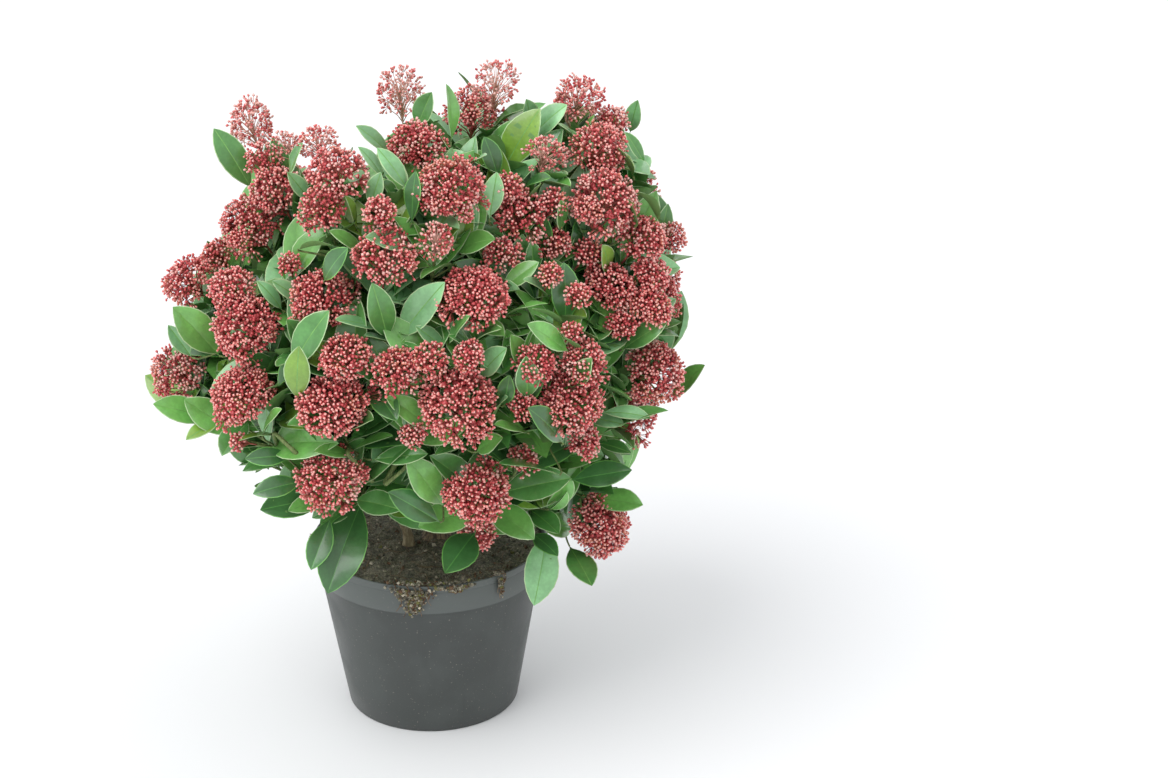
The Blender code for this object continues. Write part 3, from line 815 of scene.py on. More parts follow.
class Crown:
    """Where every twig, leaf and flower head of the crown goes, by a seeded rule."""

    SKY_STEP = 0.004
    NEAREST = 2.00
    FURTHEST = 2.85
    AROUND = ((0, 0), (-14, 0), (14, 0), (0, -14), (0, 14))
    DEEPEST_SLIT = 0.05
    HEAD_SET = 0.55
    HEAD_GROWTH = 0.98
    LOOSE_DROP = 0.40
    LEAST_FACING = 0.60
    LEAF_FOOT_SET = 0.028
    LEAF_TIP_LIFT = 0.003
    LEAF_LAYER = 0.0035
    LEAF_ROOM = 0.007
    HEAD_MARGIN = 0.006
    MOST_AWAY = -0.10
    MOST_TOWARD = 0.75
    TWIG_SET = 0.012
    FRONT_HALF = 0.02
    LEAF_TURN_IN = 0.010
    LONGEST_LEAF = 0.108
    SHORTEST_LEAF = 0.050
    TRIES = 7

    def __init__(self, settings):
        self.settings = settings
        self.draw = np.random.default_rng(settings.seed)
        self.shape, self.owners = crown_shape()
        self.shoots = []
        self.limbs = []
        self.side_twigs = []
        self.leaves = {zone: [] for zone in ZONES}
        self.inner_leaves = {zone: [] for zone in ZONES}
        self.place_seen_heads()
        self.place_other_heads()
        self.place_leafy_shoots()
        heads = [s for s in self.shoots if s.radius]
        self.head_middles = np.array([s.middle for s in heads])
        self.head_radii = np.array([s.radius for s in heads])
        self.kept_clear = [(s.middle, s.radius * 0.80 + self.HEAD_MARGIN) for s in heads if s.seen]
        self.grow_twigs()
        self.place_seen_twigs()
        self.place_seen_leaves()
        self.clear_middles = np.array([middle for middle, _ in self.kept_clear])
        self.clear_radii = np.array([radius for _, radius in self.kept_clear])
        for shoot in self.shoots:
            self.leaf_out(shoot)
        self.leaf_inside()

    def outward(self, point, lift):
        """Direction in which a shoot at a point grows: away from the crown's root and upwards."""
        away = unit(point - CROWN_ROOT)
        sway = self.draw.normal(0.0, 0.12, 3)
        return unit(away + UP * lift + sway)

    def in_sight(self, column, row):
        """Where a pixel meets the crown, or comes nearest to it, and the mass there.

        A pixel that looks through a slit between masses counts as lying on the masses beside it.
        """
        line = sight_line(column, row)
        hits = []
        for beside, below in self.AROUND:
            way = sight_line(column + beside, row + below)
            hit = self.shape.ray_cast(Vector(CAMERA_PLACE), Vector(way))
            hits.append((hit[3], self.owners[hit[2]]) if hit[0] is not None else (self.FURTHEST, None))
        depth, mass = min(hits[1:], key=lambda hit: hit[0])
        if hits[0][1]:
            near = depth if hits[0][0] > depth + self.DEEPEST_SLIT else hits[0][0]
            return CAMERA_PLACE + line * near, line, hits[0][1] if near == hits[0][0] else mass
        best = None
        for reach in np.arange(self.NEAREST, self.FURTHEST, self.SKY_STEP):
            point = CAMERA_PLACE + line * reach
            near = self.shape.find_nearest(Vector(point))
            if best is None or near[3] < best[0]:
                best = (near[3], point, self.owners[near[2]])
        return best[1], line, best[2]

    def add_shoot(self, middle, lift, mass, radius, open_share, seen, lean=0.0):
        """Add a shoot and work out where its leaves and twig start below it."""
        axis = self.outward(middle, lift)
        facing = self.LEAST_FACING - 0.22 * open_share + 0.26 * (middle[2] < LOW_HEADS_BELOW)
        facing -= 0.12 * (MASSES[mass][1] == "top")
        while seen and axis @ lean < facing:
            axis = unit(axis + 0.1 * lean)
        shoot = Shoot(middle, axis, mass, radius, open_share, seen)
        if radius:
            stalk = radius * (0.75 + 0.5 * open_share) + self.draw.uniform(0.006, 0.014)
        else:
            stalk = 0.0
        shoot.collar = middle - shoot.axis * stalk
        shoot.foot = shoot.collar - shoot.axis * self.draw.uniform(0.024, 0.032)
        self.shoots.append(shoot)

    def place_seen_heads(self):
        """Heads that the photograph shows, set into the crown along their lines of sight."""
        for column, row, width, open_share in SEEN_HEADS:
            point, line, mass = self.in_sight(column, row)
            reach = (point - CAMERA_PLACE) @ SIGHT
            radius = width * reach / FOCAL_PIXELS / 2 * self.HEAD_GROWTH
            middle = point + line * radius * self.HEAD_SET - UP * radius * self.LOOSE_DROP * open_share
            self.add_shoot(middle, 0.35, mass, radius, open_share, True, -line)

    def place_seen_leaves(self):
        """Leaves that the photograph shows, laid over the crown between their foot and tip."""
        draw = self.draw
        laid = []
        for foot_column, foot_row, tip_column, tip_row, width, tint in SEEN_LEAVES:
            heart = np.array([foot_column * 0.4 + tip_column * 0.6, foot_row * 0.4 + tip_row * 0.6])
            under = [level for other, reach, level in laid
                     if np.linalg.norm(heart - other) < (width + reach) / 2]
            level = max(under) + 1 if under else 0
            laid.append((heart, width, level))
            tip, tip_line, _ = self.in_sight(tip_column, tip_row)
            root, root_line, mass = self.in_sight(foot_column, foot_row)
            lift = self.LEAF_TIP_LIFT + self.LEAF_LAYER * min(level, 3)
            tip = self.before_heads(tip, tip_line) - tip_line * lift
            root = root + root_line * (self.LEAF_FOOT_SET - self.LEAF_LAYER * min(level, 3))
            away = (tip - root) @ tip_line
            level_reach = np.linalg.norm(tip - root - tip_line * away)
            tip = tip - tip_line * max(0.0, away - self.MOST_AWAY * level_reach)
            root = root - root_line * max(0.0, -away - self.MOST_TOWARD * level_reach)
            width = width * ((tip - CAMERA_PLACE) @ SIGHT) / FOCAL_PIXELS
            chord = tip - root
            reach = np.linalg.norm(chord)
            length = np.clip(max(reach, width / 0.42), self.SHORTEST_LEAF, self.LONGEST_LEAF)
            if length > reach:
                root = root - unit(chord) * (length - reach) * 0.4 + root_line * (length - reach) * 0.6
            else:
                root = tip - unit(chord) * length
            forward = unit(tip - root)
            length = np.linalg.norm(tip - root)
            toward = unit(-tip_line * 0.75 + UP * 0.45 + unit(tip - CROWN_ROOT) * 0.35)
            toward = unit(toward - forward * (toward @ forward))
            full = max(width, length * self.settings.leaf_slimness * 0.92)
            tilt = math.acos(min(1.0, width / full))
            side = np.cross(forward, toward)
            side = side * (1.0 if side[2] > 0 else -1.0)
            face = unit(toward * math.cos(tilt) + side * math.sin(tilt))
            droop = draw.uniform(0.15, 0.60)
            rise = 0.435 * droop
            start = unit(forward * math.cos(rise) + face * math.sin(rise))
            self.add_leaf(self.leaves[MASSES[mass][1]], root, start, face, length * (1 + droop ** 2 / 12),
                          LEAF_TINTS.index(tint), droop, full)
            for share in (0.35, 0.6, 0.85):
                self.kept_clear.append((root + (tip - root) * share, full * 0.40 + 0.004))
            self.tie_in(root, forward, mass)

    def place_seen_twigs(self):
        """Bare twigs that the photograph shows between the leaves, each let into the nearest limb."""
        for top_column, top_row, low_column, low_row in SEEN_TWIGS:
            top, top_line, mass = self.in_sight(top_column, top_row)
            low, low_line, _ = self.in_sight(low_column, low_row)
            top, low = top + top_line * self.TWIG_SET, low + low_line * self.TWIG_SET
            self.side_twigs.append((mass, np.linspace(top, low, 5), 0.0019, 0.0024, 1))
            self.tie_in(top, unit(low - top), mass, 0.0019)
            self.tie_in(low, unit(top - low), mass, 0.0024)
            for share in (0.1, 0.5, 0.9):
                self.kept_clear.append((top + (low - top) * share, 0.007))

    def before_heads(self, point, line):
        """The point, or one nearer on its line of sight, so that no seen head hides it."""
        depth = (point - CAMERA_PLACE) @ line
        for shoot in self.shoots:
            if not shoot.seen:
                continue
            along = (shoot.middle - CAMERA_PLACE) @ line
            aside = np.linalg.norm(shoot.middle - CAMERA_PLACE - line * along)
            if aside < shoot.radius:
                depth = min(depth, along - math.sqrt(shoot.radius ** 2 - aside ** 2))
        return CAMERA_PLACE + line * depth

    def tie_in(self, foot, forward, mass, radius=0.0009):
        """Run a thin twig from the nearest limb to the foot of a leaf, or to another twig."""
        best = None
        for home, path, _, _, _ in self.limbs:
            gaps = np.linalg.norm(path - foot, axis=1)
            near = int(np.argmin(gaps))
            if best is None or gaps[near] < best[0]:
                best = (gaps[near], path[near])
        reach, start = best
        turn_in = min(reach * 0.35, self.LEAF_TURN_IN)
        path = curve(start, start + unit(foot - start) * reach * 0.4, foot - forward * turn_in, foot, 5)
        self.side_twigs.append((mass, path, radius * 1.3, radius, 1))

    def outer_points(self, count, widest):
        """Evenly spread points on the outside of the crown, with the mass of each."""
        found = []
        for direction in dome_directions(count, widest):
            start = CROWN_HEART + direction * 0.6
            hit = self.shape.ray_cast(Vector(start), Vector(-direction))
            if hit[0] is not None:
                found.append((np.array(hit[0]), direction, self.owners[hit[2]]))
        self.draw.shuffle(found)
        return found

    def shows(self, point):
        """True if the camera sees a point of the crown's outside."""
        line = unit(point - CAMERA_PLACE)
        hit = self.shape.ray_cast(Vector(CAMERA_PLACE), Vector(line))
        if hit[0] is None:
            return True
        return hit[3] > np.linalg.norm(point - CAMERA_PLACE) - 0.03

    def place_other_heads(self):
        """Heads on the sides, back and top that the photograph doesn't show."""
        for point, direction, mass in self.outer_points(420, math.radians(122)):
            radius = self.draw.uniform(0.021, 0.038)
            middle = point - direction * radius * self.draw.uniform(0.5, 0.9)
            for _ in range(self.TRIES):
                if self.clear_of_crown(middle, radius):
                    middle = middle - direction * radius * 0.35
            in_front = self.shows(point) or point[1] < self.FRONT_HALF
            if in_front and seen_pixel(point)[0] < SEEN_UP_TO_COLUMN:
                continue
            gaps = [np.linalg.norm(middle - s.middle) - s.radius - radius for s in self.shoots]
            if min(gaps) < self.settings.head_spacing - 0.060:
                continue
            if self.draw.random() < 0.12:
                continue
            top = max(0.0, (point[2] - 0.52) / 0.16)
            open_share = min(0.9, self.draw.uniform(0.0, 0.35) + 0.4 * top)
            if self.clear_of_crown(middle, radius):
                continue
            self.add_shoot(middle, 0.35, mass, radius, open_share, False)

    def clear_of_crown(self, middle, radius):
        """True if a head here would stand out where the photograph shows none."""
        ways = (UP, -UP, SIGHT_RIGHT, -SIGHT_RIGHT)
        return any(in_sky(middle + way * radius) for way in ways)

    def place_leafy_shoots(self):
        """Shoots without a head, in the gaps between the heads."""
        heads = list(self.shoots)
        for point, direction, mass in self.outer_points(1100, math.radians(152)):
            middle = point - direction * self.draw.uniform(0.022, 0.050)
            if self.shows(point) and seen_pixel(point)[0] < SEEN_UP_TO_COLUMN:
                middle = middle - direction * 0.020
            if self.clear_of_crown(middle, 0.016):
                continue
            if any(np.linalg.norm(middle - s.middle) < s.radius + 0.014 for s in heads):
                continue
            if any(np.linalg.norm(middle - s.middle) < 0.044 for s in self.shoots[len(heads):]):
                continue
            self.add_shoot(middle, 0.45, mass, 0.0, 0.0, False)

    def grow_twigs(self):
        """Fork each bough's end again and again until every shoot has its own twig."""
        for mass in MASSES:
            targets = [s for s in self.shoots if s.mass == mass]
            points = curve(*bough_curve(mass), 20)
            along = unit(points[16] - points[15])
            self.fork(mass, points[16], along, targets)

    def twig_radius(self, count):
        """Radius of the wood that carries this many shoots."""
        return 0.00145 * count ** 0.36

    def fork(self, mass, start, along, targets):
        """Grow a limb towards its shoots and split it where they part."""
        if not targets:
            return
        count = len(targets)
        if count == 1:
            shoot = targets[0]
            reach = np.linalg.norm(shoot.foot - start)
            path = curve(start, start + along * reach * 0.35,
                         shoot.foot - shoot.axis * reach * 0.40, shoot.foot, 8)
            self.limbs.append((mass, path, self.twig_radius(1) * 1.08, self.twig_radius(1), 1))
            return
        feet = np.array([s.foot for s in targets])
        share = self.draw.uniform(0.34, 0.50)
        part = start + (feet.mean(0) - start) * share + self.draw.normal(0.0, 0.004, 3)
        reach = np.linalg.norm(part - start)
        chord = unit(part - start)
        end_along = unit(chord + unit(feet.mean(0) - part) + along * 0.2)
        path = curve(start, start + along * reach * 0.35, part - end_along * reach * 0.35, part, 6)
        radius = self.twig_radius(count)
        self.limbs.append((mass, path, radius * 1.05, radius * 0.97, count))
        ways = unit(feet - part)
        groups = 3 if count > 5 and self.draw.random() < 0.6 else 2
        first = ways[np.argmin(ways @ end_along)]
        seeds = [first, ways[np.argmin(ways @ first)]]
        if groups == 3:
            seeds.append(unit(end_along + 0.2 * (seeds[0] + seeds[1])))
        choice = np.argmax(ways @ np.array(seeds).T, 1)
        if len(set(choice)) == 1:
            order = np.argsort(ways @ first)
            choice = np.zeros(count, int)
            choice[order[count // 2:]] = 1
        for group in sorted(set(choice)):
            members = [s for s, pick in zip(targets, choice) if pick == group]
            aim = unit(np.mean([s.foot for s in members], 0) - part)
            self.fork(mass, part, unit(end_along + aim), members)

    def leaf_line(self, base, forward, face, length, droop):
        """Five points along a leaf, for finding what it would run into."""
        share = np.array([0.25, 0.45, 0.65, 0.85, 1.0])[:, None]
        return base + forward * length * share - face * (length * droop * share ** 2 * 0.45)

    def blocked(self, line):
        """True if a leaf would cut a flower head, hide one, or leave the crown's room."""
        gaps = np.linalg.norm(line[:, None] - self.head_middles[None], axis=2)
        if (gaps < self.head_radii * 0.84).any():
            return True
        if ((np.hypot(line[:, 0], line[:, 1]) < 0.1235) & (line[:, 2] < 0.192)).any():
            return True
        low, high = np.array(CAD_BOX[0]) - 0.004, np.array(CAD_BOX[1]) + 0.004
        if (line < low).any() or (line > high).any():
            return True
        near = self.shape.find_nearest(Vector(line[-1]))
        outside = (np.array(near[1]) @ (line[-1] - np.array(near[0]))) > 0
        if outside and near[3] > 0.014:
            return True
        if in_sky(line[4]) or in_sky(line[3]):
            return True
        reach = line - CAMERA_PLACE
        kept = self.clear_middles - CAMERA_PLACE
        depth = np.linalg.norm(kept, axis=1)
        sight = kept / depth[:, None]
        along = reach @ sight.T
        aside = np.linalg.norm(reach[:, None] - along[..., None] * sight[None], axis=2)
        return bool(((aside < self.clear_radii) & (along < depth + self.LEAF_ROOM)).any())

    def add_leaf(self, rows, base, forward, face, length, tint, droop=None, width=None):
        """Write a leaf down, with its own small differences. One of a given width lies flatter."""
        face = unit(face - forward * (face @ forward))
        draw = self.draw
        twist, fold = (0.35, (0.20, 0.72)) if width is None else (0.15, (0.12, 0.34))
        droop = draw.uniform(-0.10, 0.75) if droop is None else droop
        width = length * self.settings.leaf_slimness * draw.uniform(0.88, 1.12) if width is None else width
        rows.append(np.concatenate([base, forward, face, [
            length, width, droop, draw.uniform(-twist, twist), draw.uniform(*fold),
            draw.uniform(0.0, 0.10), draw.uniform(0.0, 1.0), tint]]))

    def leaf_out(self, shoot):
        """Set the leaves of a shoot round its stem, the upper ones steeper and shorter."""
        draw = self.draw
        count = self.settings.leaves_to_a_shoot + draw.integers(-1, 2)
        if not shoot.radius:
            count += 1
        spray = draw.choice(len(LEAF_TINTS), p=TINT_CHANCES[shoot.zone])
        turn = draw.uniform(0.0, 2 * math.pi)
        across, beside, axis = basis(shoot.axis)
        top = 1.0 if shoot.zone == "top" else 0.0
        for order in range(count):
            share = order / (count - 1)
            base = shoot.collar + (shoot.foot - shoot.collar) * share
            for attempt in range(self.TRIES):
                turn_now = turn + order * GOLDEN_ANGLE + attempt * 0.55 * (-1) ** attempt
                start_lean = 36 if shoot.radius else 16
                lean = math.radians(start_lean - 6 * top + (78 - 10 * top - start_lean) * share
                                    + draw.normal(0.0, 7.0))
                radial = across * math.cos(turn_now) + beside * math.sin(turn_now)
                forward = unit(axis * math.cos(lean) + radial * math.sin(lean)
                               + UP * draw.uniform(-0.10, 0.22))
                face = axis * math.sin(lean) - radial * math.cos(lean) + UP * 0.45
                young = 0.74 + 0.26 * min(1.0, share * 2.2)
                length = self.settings.leaf_length * young * draw.uniform(0.82, 1.16)
                length *= 1.0 - 0.07 * attempt
                line = self.leaf_line(base, forward, unit(face), length, 0.35)
                if not self.blocked(line):
                    tint = spray
                    if draw.random() < 0.24:
                        tint = draw.choice(len(LEAF_TINTS), p=TINT_CHANCES[shoot.zone])
                    self.add_leaf(self.leaves[shoot.zone], base, forward, face, length, tint)
                    break

    def leaf_inside(self):
        """Older leaves along the twigs, which close the crown behind the shoots."""
        draw = self.draw
        bright, mid, deep = (LEAF_TINTS.index(tint) for tint in ("bright", "mid", "deep"))
        boughs = [(mass, curve(*bough_curve(mass), 20)[7:17], 0, 0, 1) for mass in MASSES]
        for mass, path, _, _, count in self.limbs + boughs:
            if count > 14:
                continue
            length = np.linalg.norm(np.diff(path, axis=0), axis=1).sum()
            for _ in range(max(1, round(length / 0.0115))):
                at = draw.uniform(0.25, 0.95) * (len(path) - 1)
                base = path[int(at)]
                along = unit(path[min(int(at) + 1, len(path) - 1)] - path[int(at) - 1])
                across, beside, axis = basis(along)
                turn = draw.uniform(0.0, 2 * math.pi)
                radial = across * math.cos(turn) + beside * math.sin(turn)
                away = unit(base - CROWN_ROOT)
                forward = unit(axis * 0.5 + radial + away * 0.35)
                face = UP + away * 0.5 + draw.normal(0.0, 0.3, 3)
                size = self.settings.leaf_length * draw.uniform(0.75, 1.05)
                line = self.leaf_line(base, forward, unit(face), size, 0.3)
                if not self.blocked(line):
                    # Inner leaves lean to the lighter tints: painted fill light that lifts the shade inside the
                    # crown
                    tint = draw.choice((deep, mid, bright), p=(0.18, 0.50, 0.32))
                    self.add_leaf(self.inner_leaves[MASSES[mass][1]], base, forward, face, size, tint)


crowns = {}


def crown_of(context):
    """The scene's crown, planned once and then shared by the operators."""
    settings = context.scene.skimmia_crown
    if settings.seed not in crowns:
        crowns[settings.seed] = Crown(settings)
    return crowns[settings.seed]


# Stations along a leaf, from its foot to its tip, and columns across it: side and kind
LEAF_STATIONS = (0.0, 0.08, 0.18, 0.31, 0.45, 0.59, 0.72, 0.84, 0.94, 1.0)
LEAF_COLUMNS = ((-1, "rim"), (-1, "inner"), (-1, "rib"), (1, "rib"), (1, "inner"), (1, "rim"))
LEAF_STRIPS = ("rim", "blade", "rib", "blade", "rim")
INNER_STATIONS = (0.0, 0.12, 0.34, 0.58, 0.82, 1.0)
INNER_COLUMNS = ((-1, "rim"), (-1, "rib"), (1, "rib"), (1, "rim"))
INNER_STRIPS = ("blade", "rib", "blade")
RIM_WIDTH = 0.0009
RIB_HALF_WIDTH = 0.00045
LEAF_THICKNESS = 0.0007
LEAF_FOOT_TAPER = 1.00
LEAF_TIP_TAPER = 0.88
LEAF_STALK_SHARE = 0.075


def leaf_outline(share):
    """Half width of a leaf along its length, as a share of its greatest."""
    blade = np.clip((share - 0.05) / 0.95, 0.0, 1.0)
    wide = blade ** LEAF_FOOT_TAPER * (1.0 - blade) ** LEAF_TIP_TAPER
    peak = LEAF_FOOT_TAPER / (LEAF_FOOT_TAPER + LEAF_TIP_TAPER)
    widest = peak ** LEAF_FOOT_TAPER * (1.0 - peak) ** LEAF_TIP_TAPER
    return np.maximum(wide / widest, LEAF_STALK_SHARE * (share < 0.5))


def leaf_faces(rows, columns, strips):
    """Triangles of one closed leaf and the part that each belongs to."""
    wide = columns + 1
    foot, tip = 0, 1 + rows * wide
    faces, parts = [], []
    for strip in range(columns - 1):
        one, two = 1 + strip, 2 + strip
        faces.append((foot, one, two))
        parts.append(strips[strip])
        for row in range(rows - 1):
            low, high = row * wide, (row + 1) * wide
            faces += [(low + one, high + one, high + two), (low + one, high + two, low + two)]
            parts += [strips[strip]] * 2
        last = (rows - 1) * wide
        faces.append((last + one, tip, last + two))
        parts.append(strips[strip])
    left, right, under = 1, columns, columns + 1
    for one, two in ((under, left), (right, under)):
        faces.append((foot, one, two))
        for row in range(rows - 1):
            low, high = row * wide, (row + 1) * wide
            faces += [(low + one, high + one, high + two), (low + one, high + two, low + two)]
        last = (rows - 1) * wide
        faces.append((last + one, tip, last + two))
        parts += ["under"] * (2 * rows)
    return np.array(faces), parts


def add_leaves(pile, rows, stations, columns, strips):
    """Mesh many leaves at once: arched, folded on the midrib and gently waved."""
    data = np.array(rows)
    base, forward, face = data[:, 0:3], data[:, 3:6], data[:, 6:9]
    length, width, droop, twist, fold, wave, phase, tint = data[:, 9:].T
    share = np.array(stations)
    middle = (share[1:] + share[:-1]) / 2
    bend = droop[:, None] * middle ** 1.3
    step = length[:, None] * np.diff(share)
    run = np.pad(np.cumsum(np.cos(bend) * step, 1), ((0, 0), (1, 0)))
    fall = np.pad(np.cumsum(np.sin(bend) * step, 1), ((0, 0), (1, 0)))
    centre = base[:, None] + forward[:, None] * run[..., None] - face[:, None] * fall[..., None]
    bend = (droop[:, None] * share ** 1.3)[..., None]
    over = face[:, None] * np.cos(bend) + forward[:, None] * np.sin(bend)
    side = np.cross(face, forward)[:, None] * np.ones_like(over)
    roll = (twist[:, None] * share)[..., None]
    side, over = side * np.cos(roll) + over * np.sin(roll), over * np.cos(roll) - side * np.sin(roll)
    half = (width[:, None] / 2 * leaf_outline(share))[..., None]
    places = {
        "rim": np.ones_like(half),
        "inner": np.maximum(1.0 - RIM_WIDTH / np.maximum(half, 1e-6), 0.72),
        "rib": np.minimum(RIB_HALF_WIDTH / np.maximum(half, 1e-6), 0.3),
    }
    lifts = {"rim": 0.0, "inner": 0.0004, "rib": -0.0001}
    columns_out = []
    for sign, kind in columns:
        place = places[kind]
        ripple = np.sin(2 * math.pi * (1.6 * share[None] + phase[:, None] + 0.3 * sign))[..., None]
        height = place * half * (fold[:, None, None] + wave[:, None, None] * ripple * place)
        columns_out.append(centre + side * (sign * place * half) + over * (height + lifts[kind]))
    columns_out.append(centre - over * LEAF_THICKNESS)
    body = np.stack(columns_out, 2)[:, 1:-1]
    count, rows_in = len(data), len(stations) - 2
    body = body.reshape(count, -1, 3)
    points = np.concatenate([centre[:, :1], body, centre[:, -1:]], 1)
    faces, parts = leaf_faces(rows_in, len(columns), strips)
    each = points.shape[1]
    all_faces = (faces[None] + (np.arange(count) * each)[:, None, None]).reshape(-1, 3)
    # Rims take the pale rim finish, a painted edge highlight, and ribs their own finish; deep leaves take the
    # bright tint at the rim and the mid tint at the rib
    fixed = {"rim": len(LEAF_TINTS), "rib": len(LEAF_TINTS) + 1, "under": len(LEAF_TINTS) + 2}
    in_deep = {"rim": LEAF_TINTS.index("bright"), "rib": LEAF_TINTS.index("mid"), "under": fixed["under"]}
    blade = np.array([part == "blade" for part in parts])
    codes = np.array([fixed.get(part, 0) for part in parts])
    deep_codes = np.array([in_deep.get(part, 0) for part in parts])
    is_deep = tint[:, None] == LEAF_TINTS.index("deep")
    looks = np.where(blade[None], tint[:, None], np.where(is_deep, deep_codes[None], codes[None])).reshape(-1)
    row_rim = np.array([kind == "rim" for _, kind in columns] + [False])
    rim = np.concatenate([[True], np.tile(row_rim, rows_in), [True]])
    pile.add(points.reshape(-1, 3), all_faces, looks, np.tile(rim, count))


def bud_shape():
    """A small round bud: eight points, and twelve triangles of which the first three are its tip."""
    turn = np.arange(3) * 2 * math.pi / 3
    upper = np.stack([0.84 * np.cos(turn), 0.84 * np.sin(turn), np.full(3, 0.56)], 1)
    turn = turn + math.pi / 3
    lower = np.stack([0.96 * np.cos(turn), 0.96 * np.sin(turn), np.full(3, -0.34)], 1)
    points = np.concatenate([[[0, 0, 1.0]], upper, lower, [[0, 0, -1.0]]])
    tip, wall, foot = [], [], []
    for side in range(3):
        after = (side + 1) % 3
        tip.append((0, 1 + side, 1 + after))
        wall += [(1 + side, 4 + side, 1 + after), (4 + side, 4 + after, 1 + after)]
        foot.append((7, 4 + after, 4 + side))
    return points, np.array(tip + wall + foot)


BUD_POINTS, BUD_FACES = bud_shape()
BUD_STRETCH = 1.12
PEDICEL_RADIUS = 0.00055
YOUNG_BUDS = 3.4


def frames_of(directions):
    """For each direction, a matrix that turns +Z to it."""
    helper = np.where(np.abs(directions[:, 2:]) < 0.9, UP, SIGHT_RIGHT)
    across = unit(np.cross(directions, helper))
    beside = np.cross(directions, across)
    return np.stack([across, beside, directions], 1)


def add_buds(pile, places, directions, radii, tints):
    """Add a bud at each place, pointing its own way. All but the wine red ones have the pale tip, a painted
    highlight.
    """
    shape = BUD_POINTS * (1.0, 1.0, BUD_STRETCH)
    turned = np.einsum("pk,bkc->bpc", shape, frames_of(directions)) * radii[:, None, None]
    points = (places[:, None] + turned).reshape(-1, 3)
    count = len(places)
    faces = (BUD_FACES[None] + (np.arange(count) * len(BUD_POINTS))[:, None, None]).reshape(-1, 3)
    looks = np.repeat(tints[:, None], len(BUD_FACES), 1)
    # The three tip faces take the pale finish, a painted highlight; wine red buds, painted as shaded, keep their
    # body colour
    looks[tints != BUD_TINTS.index("wine"), :3] = len(BUD_TINTS)
    pile.add(points, faces, looks.reshape(-1))


def add_pedicels(pile, nodes, places, look):
    """Add the thread that holds each bud: a slim closed wedge from its fork."""
    frames = frames_of(unit(places - nodes))
    turn = np.arange(3) * 2 * math.pi / 3
    spoke = np.stack([np.cos(turn), np.sin(turn), np.zeros(3)], 1) * PEDICEL_RADIUS
    rings = places[:, None] + np.einsum("pk,bkc->bpc", spoke, frames)
    points = np.concatenate([nodes[:, None], rings], 1).reshape(-1, 3)
    shape = np.array([(0, 2, 1), (0, 3, 2), (0, 1, 3), (1, 2, 3)])
    faces = (shape[None] + (np.arange(len(places)) * 4)[:, None, None]).reshape(-1, 3)
    pile.add(points, faces, look)


